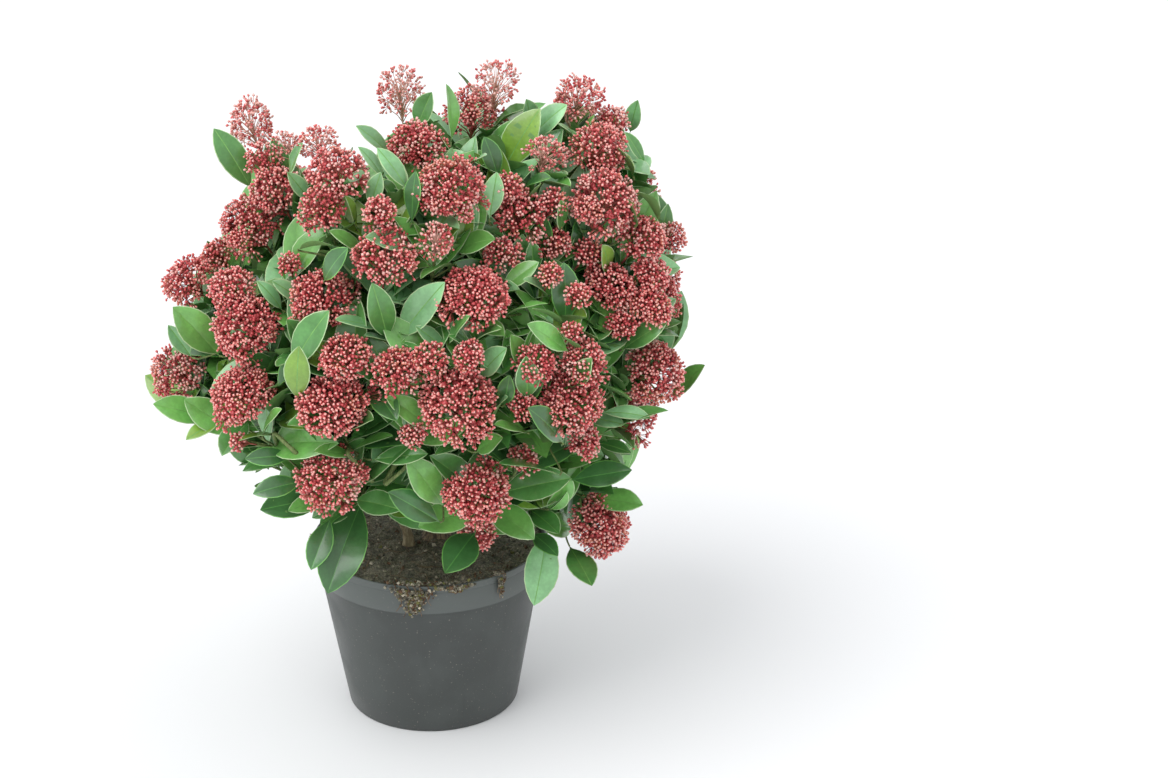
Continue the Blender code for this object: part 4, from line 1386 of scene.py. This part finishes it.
def add_head(buds, stalks, shoot, draw, settings):
    """One flower head: a stalk whose side branches each end in an umbel, with buds all over the dome.

    In a tight head the buds cover the dome evenly, and young buds crowd round the umbels' feet. In a
    loose one the buds draw together on their umbels.
    """
    radius, loose = shoot.radius, shoot.open_share
    turn = basis(shoot.axis)
    spacing = settings.bud_spacing * (1.0 if shoot.seen else 1.20)
    widest = math.radians(108 + 14 * loose)
    stretch = np.array([draw.uniform(0.90, 1.12), draw.uniform(0.90, 1.12),
                        draw.uniform(0.76, 0.92) + 0.44 * loose
                        + 0.20 * (1.0 - loose) * (shoot.zone == "top")])
    area = 2 * math.pi * radius ** 2 * (1 - math.cos(widest))
    umbels = max(6, round(area / (math.pi * (radius * (0.32 - 0.05 * loose)) ** 2)))
    aims = unit(dome_directions(umbels, widest) + draw.normal(0.0, 0.09, (umbels, 3)))
    polar = np.arccos(np.clip(aims[:, 2], -1, 1))
    sides = draw.integers(0, 4) if radius > 0.018 else 0
    side_polar = draw.uniform(1.15, 1.95, sides)
    side_turn = draw.uniform(0.0, 2 * math.pi, sides)
    skirt = polar > math.radians(80)
    kept = ~skirt | (draw.random(umbels) < (0.93 if shoot.seen else 0.70))
    swell = np.array([noise.noise(Vector(shoot.middle * 90 + aim * 1.2)) for aim in aims])
    depth = 1.0 + 0.15 * swell + draw.normal(0.0, 0.03 + 0.09 * skirt)
    node_depth = 0.66 + 0.12 * loose
    nodes = shoot.middle + (aims * stretch * (radius * depth * node_depth)[:, None]) @ turn
    count = max(20, round(area / spacing ** 2 * (1.0 - 0.16 * loose)))
    rays = unit(dome_directions(count, widest) + draw.normal(0.0, 0.035, (count, 3)))
    home = np.argmax(rays @ aims.T, 1)
    chosen = kept[home]
    rays, home = rays[chosen], home[chosen]
    count = len(rays)
    pull = 0.05 + 0.28 * loose
    rays = unit(rays * (1.0 - pull) + aims[home] * pull)
    sunk = draw.random(count) < 0.32 * (1.0 - loose)
    out = radius * depth[home] * (1.0 + draw.normal(0.0, 0.035 + 0.045 * loose, count))
    out = out * np.where(sunk, draw.uniform(0.80, 0.93, count), 1.0)
    places = shoot.middle + (rays * stretch * out[:, None]) @ turn
    ways = unit(places - nodes[home])
    top = shoot.middle + shoot.axis * radius * 0.35 * stretch[2]
    bottom = shoot.collar
    rachis = curve(bottom, bottom + shoot.axis * radius * 0.3, top - shoot.axis * radius * 0.3, top, 4)
    look = 1 if loose > 0.55 else 0
    slim = 1.0 - 0.40 * loose
    add_tube(stalks, rachis, np.linspace(0.0013, 0.0007, 5) * slim, 5, look)
    for node, share in zip(nodes[kept], polar[kept] / widest):
        start = top + (bottom + (shoot.middle - bottom) * 0.25 - top) * (0.15 + 0.85 * share)
        gap = node - start
        path = curve(start, start + shoot.axis * np.linalg.norm(gap) * 0.25 + gap * 0.25,
                     start + gap * 0.75, node, 3)
        add_tube(stalks, path, np.linspace(0.0009, 0.0006, 4) * slim, 3, look)
    # Pale pink buds: loose heads get more, and the top zone's extra share is painted haze
    paleness = 0.5 + 7.0 * loose + 2.5 * (shoot.zone == "top")
    head_shares = draw.dirichlet((3.0, 5.0, 1.0, 1.1, paleness))
    main = draw.choice(len(BUD_TINTS), umbels, p=head_shares)
    odd = draw.choice(len(BUD_TINTS), count, p=(0.32, 0.38, 0.14, 0.10, 0.06))
    tints = np.where(draw.random(count) < 0.40, odd, main[home])
    # Painted shade: most sunk buds take the wine red, darker where they sit deep in the head
    tints = np.where(sunk & (draw.random(count) < 0.6), BUD_TINTS.index("wine"), tints)
    radii = settings.bud_radius * draw.uniform(0.80, 1.14, count) * (1.0 - 0.10 * loose + 0.20 * sunk)
    add_buds(buds, places, ways, radii, tints)
    add_pedicels(stalks, nodes[home], places, look)
    crowd = 2.2 if shoot.seen and shoot.middle[2] < LOW_HEADS_BELOW else 1.0
    young = np.repeat(nodes[kept], round(YOUNG_BUDS * crowd * (1.0 - loose)), 0)
    ways = unit(draw.normal(size=(len(young), 3)))
    young = young + ways * radius * draw.uniform(0.06, 0.16 + 0.06 * crowd, (len(young), 1))
    # Painted shade: the young buds deep round the umbels' feet are all wine red, without the pale tip
    add_buds(buds, young, ways, radius * draw.uniform(0.07, 0.10, len(young)),
             np.full(len(young), BUD_TINTS.index("wine")))
    for angle, round_it in zip(side_polar, side_turn):
        level = math.sin(angle)
        aim = np.array([level * math.cos(round_it), level * math.sin(round_it), math.cos(angle)]) @ turn
        small = radius * draw.uniform(0.26, 0.40)
        node = shoot.middle + aim * radius * draw.uniform(0.66, 0.90)
        count = max(7, round(5.2 * small ** 2 / spacing ** 2))
        rays = unit(dome_directions(count, 1.5) + draw.normal(0.0, 0.10, (count, 3))) @ basis(unit(aim + UP * 0.3))
        places = node + rays * small * draw.normal(1.0, 0.08, (count, 1))
        start = bottom + shoot.axis * radius * 0.25
        path = curve(start, start + aim * radius * 0.3, node - aim * radius * 0.2, node, 3)
        add_tube(stalks, path, np.linspace(0.0009, 0.0006, 4), 3, look)
        add_buds(buds, places, rays, np.full(count, settings.bud_radius * 0.92), draw.integers(0, 4, count))
        add_pedicels(stalks, np.repeat(node[None], count, 0), places, look)


def ridged(points, rings, sides, depth, size):
    """Push a tube's wall in and out by bark ridges that run along it."""
    wall = points[:rings * sides].reshape(rings, sides, 3)
    centre = wall.mean(1, keepdims=True)
    spokes = unit(wall - centre)
    lift = np.zeros((rings, sides))
    for ring in range(rings):
        for side in range(sides):
            place = Vector(wall[ring, side]) / size
            place.z *= 0.28
            lift[ring, side] = noise.fractal(place, 0.9, 2.1, 4)
    wall += spokes * (lift * depth)[..., None]
    points[:rings * sides] = wall.reshape(-1, 3)
    return points


def add_barked_limb(pile, path, radii, sides, depth, look=0):
    """A limb with bark relief and the rings where old leaves stood."""
    share = np.linspace(0.0, 1.0, len(path))
    length = np.linalg.norm(np.diff(path, axis=0), axis=1).sum()
    knuckles = 1.0 + 0.07 * np.exp(-((share * length / 0.021 % 1.0 - 0.5) / 0.10) ** 2)
    grown = np.asarray(radii) * (knuckles if np.ndim(radii) == 1 else knuckles[:, None])
    points = tube_points(path, grown, sides)
    pile.add(ridged(points, len(path), sides, depth, 0.0045), tube_faces(len(path), sides), look)


class SKIMMIA_OT_pot(bpy.types.Operator):
    """Turn the nursery pot with its banded rim and drain holes"""

    bl_idname = "skimmia.pot"
    bl_label = "Pot"

    SIDES = 160
    WALL = 0.0025
    FLOOR = 0.003
    BAND_HEIGHT = 0.033
    HOLES = 6
    HOLE_RADIUS = 0.006
    HOLE_RING = 0.062
    FOOT_RADIUS = 0.090
    WALL_TOP_RADIUS = 0.1155
    BAND_RADIUS = 0.1185

    def execute(self, context):
        low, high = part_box("pot")
        rim, top = high.x, high.z
        step = top - self.BAND_HEIGHT
        wall, floor = self.WALL, self.FLOOR
        lip = 0.0011
        profile = [(self.FOOT_RADIUS - 0.0040, 0.0), (self.FOOT_RADIUS - 0.0012, 0.0003),
                   (self.FOOT_RADIUS - 0.0001, 0.0016)]
        profile += [(self.FOOT_RADIUS + (self.WALL_TOP_RADIUS - self.FOOT_RADIUS) * share,
                     0.0016 + (step - 0.0030) * share) for share in (0.15, 0.4, 0.7, 1.0)]
        profile += [(self.WALL_TOP_RADIUS + 0.0009, step - 0.0006),
                    (self.BAND_RADIUS - 0.0006, step - 0.0001), (self.BAND_RADIUS, step + 0.0010)]
        ring_groove = step + 0.0250
        slope = (rim - self.BAND_RADIUS) / (top - step)
        for height in (step + 0.012, ring_groove - 0.0012):
            profile.append((self.BAND_RADIUS + slope * (height - step), height))
        profile.append((self.BAND_RADIUS + slope * (ring_groove - step) - 0.0005, ring_groove))
        profile.append((self.BAND_RADIUS + slope * (ring_groove + 0.0012 - step), ring_groove + 0.0012))
        for turn in np.linspace(0.0, math.pi, 7):
            profile.append((rim - lip + lip * math.cos(turn), top - lip + lip * math.sin(turn)))
        profile += [(self.BAND_RADIUS - wall, step + wall), (self.WALL_TOP_RADIUS - wall, step),
                    (self.FOOT_RADIUS - wall, floor + 0.002), (self.FOOT_RADIUS - wall - 0.002, floor)]
        bm = bmesh.new()
        rings = []
        for radius, height in profile:
            turns = [2 * math.pi * side / self.SIDES for side in range(self.SIDES)]
            rings.append([bm.verts.new((radius * math.cos(t), radius * math.sin(t), height))
                          for t in turns])
        for lower, upper in zip(rings, rings[1:]):
            for side in range(self.SIDES):
                after = (side + 1) % self.SIDES
                bm.faces.new((lower[side], lower[after], upper[after], upper[side]))
        bm.faces.new(rings[0][::-1])
        bm.faces.new(rings[-1])
        bmesh.ops.recalc_face_normals(bm, faces=bm.faces)
        mesh = bpy.data.meshes.new("pot_shell")
        bm.to_mesh(mesh)
        bm.free()
        pot = bpy.data.objects.new("pot_shell", mesh)
        context.scene.collection.objects.link(pot)
        self.drill(context, pot)
        pot.data.shade_smooth()
        pot.data.set_sharp_from_angle(angle=math.radians(32))
        pot.data.materials.clear()
        pot.data.materials.append(pot_finish(context.scene.skimmia_pot.colour))
        settle(pot, "pot", "pot")
        return {"FINISHED"}

    def drill(self, context, pot):
        """Cut the drain holes through the floor and keep the result as the pot's mesh."""
        bm = bmesh.new()
        for hole in range(self.HOLES):
            angle = 2 * math.pi * (hole + 0.5) / self.HOLES
            made = bmesh.ops.create_cone(bm, cap_ends=True, segments=28, radius1=self.HOLE_RADIUS,
                                         radius2=self.HOLE_RADIUS, depth=4 * self.FLOOR)
            place = Vector((math.cos(angle), math.sin(angle), 0.0)) * self.HOLE_RING
            bmesh.ops.translate(bm, verts=made["verts"], vec=place)
        drills = bpy.data.meshes.new("drills")
        bm.to_mesh(drills)
        bm.free()
        drill = bpy.data.objects.new("drills", drills)
        context.scene.collection.objects.link(drill)
        cut = pot.modifiers.new("drain holes", "BOOLEAN")
        cut.operation = "DIFFERENCE"
        cut.solver = "EXACT"
        cut.object = drill
        drilled = bpy.data.meshes.new_from_object(pot.evaluated_get(context.evaluated_depsgraph_get()))
        pot.modifiers.clear()
        pot.data = drilled
        bpy.data.objects.remove(drill)


class SKIMMIA_OT_root_ball(bpy.types.Operator):
    """Fill the pot with peat, crumbs, fine roots and moss"""

    bl_idname = "skimmia.root_ball"
    bl_label = "Root ball"

    SIDES = 200
    RINGS = 64
    EDGE_RADIUS = 0.1176
    LEVEL = 0.1758
    RIM_CLUMP_TURN = math.radians(-95)
    RIM_TUFT_TURN = math.radians(-74)
    RIM_STRAND_TURN = math.radians(-51)
    SIDE_TUFT_TURN = math.radians(186)

    def height(self, x, y):
        """Height of the peat's uneven top."""
        place = Vector((x, y, 0.0))
        lump = noise.fractal(place / 0.045, 1.0, 2.0, 2) * 0.0030
        clod = noise.fractal(place / 0.011, 0.8, 2.0, 3) * 0.0026
        mound = 0.0020 * math.exp(-(math.hypot(x - STEM_FOOT[0], y - STEM_FOOT[1]) / 0.022) ** 2)
        return self.LEVEL + lump + clod + mound

    def execute(self, context):
        settings = context.scene.skimmia_pot
        draw = np.random.default_rng(context.scene.skimmia_crown.seed + 1)
        peat = peat_finish("peat", settings.peat, settings.fibre, 0.010)
        fibre = peat_finish("peat_fibre", tinted(settings.fibre, 0.6), tinted(settings.fibre, 1.8), 0.004)
        rust = peat_finish("peat_rust", (0.11, 0.058, 0.030), (0.27, 0.165, 0.090), 0.004)
        pale = thin_finish("pale_bits", (0.52, 0.46, 0.36), 0.8)
        moss = thin_finish("moss", (0.155, 0.150, 0.045), 0.85)
        root = thin_finish("fine_roots", (0.20, 0.14, 0.085), 0.8)
        self.fill(peat)
        crumbs = Pile(peat, fibre, rust, pale, moss)
        self.scatter(crumbs, draw, settings.crumbs)
        self.hang_clump(crumbs, draw, self.RIM_CLUMP_TURN, 0.11, 0.034, 430, (0.14, 0.40, 0.26, 0.06, 0.14))
        self.hang_clump(crumbs, draw, self.RIM_TUFT_TURN, 0.09, 0.008, 150, (0.20, 0.42, 0.14, 0.04, 0.20))
        self.hang_clump(crumbs, draw, self.RIM_STRAND_TURN, 0.022, 0.026, 60, (0.20, 0.45, 0.25, 0.04, 0.06))
        self.hang_clump(crumbs, draw, self.SIDE_TUFT_TURN, 0.075, 0.012, 110, (0.20, 0.30, 0.10, 0.05, 0.35))
        settle(crumbs.make("peat_crumbs", smooth=False), "compost")
        roots = Pile(root, rust)
        self.lay_roots(roots, draw, settings.roots)
        settle(roots.make("fine_roots"), "compost")
        return {"FINISHED"}

    def fill(self, peat):
        """The root ball itself, turned to fit the pot, with a rough top."""
        sides = self.SIDES
        turn = np.arange(sides) * 2 * math.pi / sides
        rings = []
        for radius, height in ((0.0868, 0.0036), (0.1124, 0.1522), (0.1154, 0.1552)):
            rings.append(np.stack([radius * np.cos(turn), radius * np.sin(turn),
                                   np.full(sides, height)], 1))
        for radius in np.linspace(self.EDGE_RADIUS, 0.002, self.RINGS):
            x, y = radius * np.cos(turn), radius * np.sin(turn)
            z = [self.height(a, b) for a, b in zip(x, y)]
            rings.append(np.stack([x, y, z], 1))
        points = np.concatenate(rings + [[[0, 0, 0.0036]], [[0, 0, self.height(0, 0)]]])
        pile = Pile(peat)
        pile.add(points, tube_faces(len(rings), sides), 0)
        settle(pile.make("peat_top"), "compost", "root_ball")

    def add_crumb(self, pile, place, size, draw, look):
        """One knobbly crumb."""
        shape = BUD_POINTS * draw.uniform(0.65, 1.35, (len(BUD_POINTS), 1)) * draw.uniform(0.5, 1.3, 3)
        turn = np.linalg.qr(draw.normal(size=(3, 3)))[0]
        pile.add(place + shape @ turn * size, BUD_FACES, look)

    def scatter(self, pile, draw, count):
        """Loose crumbs all over the peat, of many sizes."""
        for _ in range(count):
            radius = (self.EDGE_RADIUS - 0.003) * math.sqrt(draw.random())
            angle = draw.uniform(0.0, 2 * math.pi)
            x, y = radius * math.cos(angle), radius * math.sin(angle)
            size = 0.0006 + 0.0024 * draw.random() ** 3
            look = draw.choice(5, p=(0.42, 0.33, 0.11, 0.11, 0.03))
            place = np.array([x, y, self.height(x, y) + size * 0.3])
            self.add_crumb(pile, place, size, draw, look)

    def hang_clump(self, pile, draw, middle, spread, drop, count, chances):
        """Peat and moss that has spilled over the rim and clings to the pot's side."""
        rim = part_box("pot")[1].x
        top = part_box("pot")[1].z
        for _ in range(count):
            share = draw.random()
            angle = middle + draw.normal(0.0, spread) * (1.0 - 0.6 * share)
            fall = share ** 1.4 * drop * (1.0 - min(1.0, abs(angle - middle) / (spread * 3)))
            radius = rim + 0.0012 + 0.0030 * draw.random() * (1.0 - share * 0.5)
            if share < 0.22:
                radius = rim - draw.uniform(0.0, 0.014)
                fall = -0.0015
                if radius < rim - 0.005:
                    fall = draw.uniform(0.0, 0.006)
            size = draw.uniform(0.0010, 0.0030) * (1.0 - 0.4 * share)
            place = np.array([radius * math.cos(angle), radius * math.sin(angle), top - fall])
            self.add_crumb(pile, place, size, draw, draw.choice(5, p=chances))

    def lay_roots(self, pile, draw, count):
        """Fine roots that wander over the peat, and a few that hang over the rim."""
        for _ in range(count):
            radius = (self.EDGE_RADIUS - 0.012) * math.sqrt(draw.random())
            angle = draw.uniform(0.0, 2 * math.pi)
            place = np.array([radius * math.cos(angle), radius * math.sin(angle)])
            heading = draw.uniform(0.0, 2 * math.pi)
            path = []
            for step in range(9):
                reach = min(1.0, (self.EDGE_RADIUS - 0.003) / max(np.hypot(*place), 1e-6))
                place = place * reach
                lift = 0.0008 + 0.0022 * math.sin(step / 8 * math.pi) * draw.random()
                path.append((place[0], place[1], self.height(*place) + lift))
                heading += draw.normal(0.0, 0.45)
                place = place + np.array([math.cos(heading), math.sin(heading)]) * 0.0042
            add_tube(pile, np.array(path), np.linspace(0.00045, 0.00018, 9), 4, 0)
        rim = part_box("pot")[1].x
        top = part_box("pot")[1].z
        for angle, drop in ((-1.78, 0.030), (-1.70, 0.036), (-1.62, 0.028), (-1.56, 0.034), (-1.66, 0.024),
                            (-1.50, 0.022), (-0.88, 0.028), (-0.90, 0.020), (3.20, 0.012), (3.28, 0.010)):
            path = []
            for step in range(11):
                share = step / 10
                radius = rim - 0.012 + 0.0145 * min(1.0, share * 2.4)
                height = top - 0.006 + 0.0082 * min(1.0, share * 2.8) - drop * max(0.0, share - 0.36) / 0.64
                sway = angle + 0.035 * math.sin(share * 7 + angle * 9)
                path.append((radius * math.cos(sway), radius * math.sin(sway), height))
            add_tube(pile, np.array(path), np.linspace(0.0007, 0.0003, 11), 5, 1 if drop > 0.025 else 0)


class SKIMMIA_OT_limbs(bpy.types.Operator):
    """Cover the stems and boughs in bark with real relief"""

    bl_idname = "skimmia.limbs"
    bl_label = "Stems and boughs"

    def execute(self, context):
        settings = context.scene.skimmia_limbs
        bark = bark_finish("bark", settings.bark, settings.bark_ridge, 0.0026)
        stem = Pile(bark)
        steps = 84
        path = stem_path(steps)
        share = np.linspace(0.0, 1.0, steps + 1)[:, None]
        turn = np.arange(48)[None] * 2 * math.pi / 48
        body = STEM_RADIUS + (STEM_TOP_RADIUS - STEM_RADIUS) * share
        flare = ROOT_FLARE * np.exp(-share / ROOT_FLARE_SHARE)
        radii = body * (1 + flare * (1 + ROOT_RIDGE_DEPTH * np.cos(ROOT_RIDGES * turn)))
        blunt = np.clip((share - STEM_BLUNT_FROM) / (1.02 - STEM_BLUNT_FROM), 0.0, 1.0)
        radii = radii * np.sqrt(1.0 - blunt ** 2)
        add_barked_limb(stem, path, radii, 48, settings.relief)
        settle(stem.make("bark_main_stem"), "bark", "main_stem")
        tan = bark_finish("tan_bark", (0.225, 0.175, 0.100), (0.400, 0.335, 0.210), 0.0022)
        sides = Pile(tan)
        for mass in SIDE_STEMS:
            path = curve(*bough_curve(mass), 70)[:62]
            radii = np.linspace(SIDE_STEM_RADIUS, BOUGH_END_RADIUS, len(path))
            radii = radii + 0.0022 * np.exp(-np.linspace(0.0, 1.0, len(path)) / 0.05)
            add_barked_limb(sides, path, radii, 20, settings.relief * 0.6)
        settle(sides.make("bark_side_stems"), "bark", *["side_stem_" + mass for mass in SIDE_STEMS])
        boughs = Pile(bark)
        carried = [mass for mass in MASSES if mass not in SIDE_STEMS]
        for mass in carried:
            path = curve(*bough_curve(mass), 56)[:46]
            radii = np.linspace(BOUGH_RADIUS, BOUGH_END_RADIUS, len(path))
            radii = radii + 0.0016 * np.exp(-np.linspace(0.0, 1.0, len(path)) / 0.05)
            add_barked_limb(boughs, path, radii, 14, settings.relief * 0.5)
        settle(boughs.make("bark_boughs"), "bark", *["bough_" + mass for mass in carried])
        return {"FINISHED"}


def zone_nodes(zone):
    """Foliage nodes that a zone's pieces stand for."""
    return ["foliage_" + mass for mass, (_, home) in MASSES.items() if home == zone]


class SKIMMIA_OT_twigs(bpy.types.Operator):
    """Fork the boughs' ends into twigs that reach every shoot"""

    bl_idname = "skimmia.twigs"
    bl_label = "Twigs"

    def execute(self, context):
        settings = context.scene.skimmia_limbs
        crown = crown_of(context)
        wood = bark_finish("young_bark", tinted(settings.bark, 1.2), tinted(settings.bark_ridge, 0.8), 0.0016)
        green = bark_finish("green_twig", tinted(settings.twig, 0.7), tinted(settings.twig, 1.3), 0.0016)
        piles = {zone: Pile(wood, green) for zone in ZONES}
        for mass, path, foot, tip, count in crown.limbs + crown.side_twigs:
            pile = piles[MASSES[mass][1]]
            look = 1 if count < 3 else 0
            add_tube(pile, path, np.linspace(foot, tip, len(path)), 6, look)
        for shoot in crown.shoots:
            path = np.linspace(shoot.foot, shoot.collar, 5)
            add_tube(piles[shoot.zone], path, np.linspace(0.00155, 0.0013, 5), 6, 1)
        for zone, pile in piles.items():
            settle(pile.make("twigs_" + zone), "young_bark", *zone_nodes(zone))
        return {"FINISHED"}


class SKIMMIA_OT_leaves(bpy.types.Operator):
    """Leaf out the shoots and the twigs inside the crown"""

    bl_idname = "skimmia.leaves"
    bl_label = "Leaves"

    def execute(self, context):
        settings = context.scene.skimmia_crown
        crown = crown_of(context)
        finishes = [leaf_finish("leaf_" + tint, getattr(settings, tint), settings) for tint in LEAF_TINTS]
        # The pale rim finish is a painted edge highlight
        finishes.append(thin_finish("leaf_rim", settings.leaf_rim, 0.5))
        finishes.append(thin_finish("leaf_rib", settings.leaf_rib, 0.5))
        finishes.append(leaf_under_finish(settings.leaf_under))
        for zone in ZONES:
            pile = Pile(*finishes)
            add_leaves(pile, crown.leaves[zone], LEAF_STATIONS, LEAF_COLUMNS, LEAF_STRIPS)
            add_leaves(pile, crown.inner_leaves[zone], INNER_STATIONS, INNER_COLUMNS, INNER_STRIPS)
            settle(pile.make("leaves_" + zone), "leaf", *zone_nodes(zone))
        return {"FINISHED"}


class SKIMMIA_OT_flower_heads(bpy.types.Operator):
    """Set the flower heads with their stalks and closed buds"""

    bl_idname = "skimmia.flower_heads"
    bl_label = "Flower heads"

    def execute(self, context):
        settings = context.scene.skimmia_crown
        crown = crown_of(context)
        draw = np.random.default_rng(settings.seed + 2)
        finishes = [bud_finish("bud_" + tint, getattr(settings, tint), 0.34) for tint in BUD_TINTS]
        # The pale bud tip finish is a painted highlight
        finishes.append(bud_finish("bud_tip", settings.bud_tip, 0.34))
        stalk = thin_finish("flower_stalk", settings.stalk, 0.5)
        pale = thin_finish("pale_flower_stalk", settings.pale_stalk, 0.5)
        for zone in ZONES:
            buds, stalks = Pile(*finishes), Pile(stalk, pale)
            for shoot in crown.shoots:
                if shoot.radius and shoot.zone == zone:
                    add_head(buds, stalks, shoot, draw, settings)
            settle(buds.make("buds_" + zone), "bud", *zone_nodes(zone))
            settle(stalks.make("stalks_" + zone), "stalk", *zone_nodes(zone))
        return {"FINISHED"}


class SKIMMIA_OT_stage(bpy.types.Operator):
    """Lay the pale floor and set the light and the camera"""

    bl_idname = "skimmia.stage"
    bl_label = "Stage"

    KEY_FROM = (-0.48, -0.42, 0.80)
    FLOOR_REACH = 30.0

    def execute(self, context):
        settings = context.scene.skimmia_studio
        scene = context.scene
        finish = Finish("pale_floor")
        cloud = finish.grain(0.35, 3.0)
        tone = cloud.between(tinted(settings.floor, 0.985), settings.floor)
        paint = finish.dress({"Base Color": tone, "Roughness": 0.6})
        mesh = bpy.data.meshes.new("floor")
        reach = self.FLOOR_REACH
        mesh.from_pydata([(-reach, -reach, 0), (reach, -reach, 0), (reach, reach, 0), (-reach, reach, 0)],
                         [], [(0, 1, 2, 3)])
        mesh.materials.append(paint)
        floor = bpy.data.objects.new("floor", mesh)
        scene.collection.objects.link(floor)
        lamp = bpy.data.lights.new("key_light", "SUN")
        lamp.energy = settings.key
        lamp.angle = settings.key_softness
        key = bpy.data.objects.new("key_light", lamp)
        key.rotation_euler = Vector(self.KEY_FROM).to_track_quat("Z", "Y").to_euler()
        scene.collection.objects.link(key)
        world = bpy.data.worlds.new("surround")
        world.use_nodes = True
        background = world.node_tree.nodes["Background"]
        background.inputs["Color"].default_value = (0.97, 0.98, 1.0, 1.0)
        background.inputs["Strength"].default_value = settings.sky
        scene.world = world
        scene.view_settings.view_transform = "Standard"
        camera = bpy.data.cameras.new("camera")
        camera.sensor_width = SENSOR_WIDTH_MM
        camera.lens = SENSOR_WIDTH_MM * FOCAL_PIXELS / IMAGE_WIDTH
        seat = bpy.data.objects.new("camera", camera)
        seat.location = CAMERA_PLACE
        seat.rotation_euler = (math.pi / 2 - CAMERA_PITCH, 0.0, 0.0)
        scene.collection.objects.link(seat)
        scene.camera = seat
        return {"FINISHED"}


class SKIMMIA_PT_panel(bpy.types.Panel):
    """Sidebar panel with the settings and the operators in their order"""

    bl_idname = "SKIMMIA_PT_panel"
    bl_label = "Potted skimmia"
    bl_space_type = "VIEW_3D"
    bl_region_type = "UI"
    bl_category = "Skimmia"

    def draw(self, context):
        for name, group in SETTINGS.items():
            box = self.layout.box()
            box.label(text=group.__doc__)
            for key in group.__annotations__:
                box.prop(getattr(context.scene, name), key)
        for step in STEPS:
            self.layout.operator(step.bl_idname)


STEPS = (SKIMMIA_OT_stage, SKIMMIA_OT_pot, SKIMMIA_OT_root_ball, SKIMMIA_OT_limbs, SKIMMIA_OT_twigs,
         SKIMMIA_OT_leaves, SKIMMIA_OT_flower_heads)
CLASSES = (*SETTINGS.values(), *STEPS, SKIMMIA_PT_panel)


def register():
    """Add the settings, operators and panel to Blender."""
    for item in CLASSES:
        bpy.utils.register_class(item)
    for name, group in SETTINGS.items():
        setattr(bpy.types.Scene, name, PointerProperty(type=group))


def unregister():
    """Take them out again."""
    for name in SETTINGS:
        delattr(bpy.types.Scene, name)
    for item in reversed(CLASSES):
        bpy.utils.unregister_class(item)


def main():
    """Build every piece in order."""
    register()
    for step in STEPS:
        group, name = step.bl_idname.split(".")
        getattr(getattr(bpy.ops, group), name)()
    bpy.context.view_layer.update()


if __name__ == "__main__":
    main()
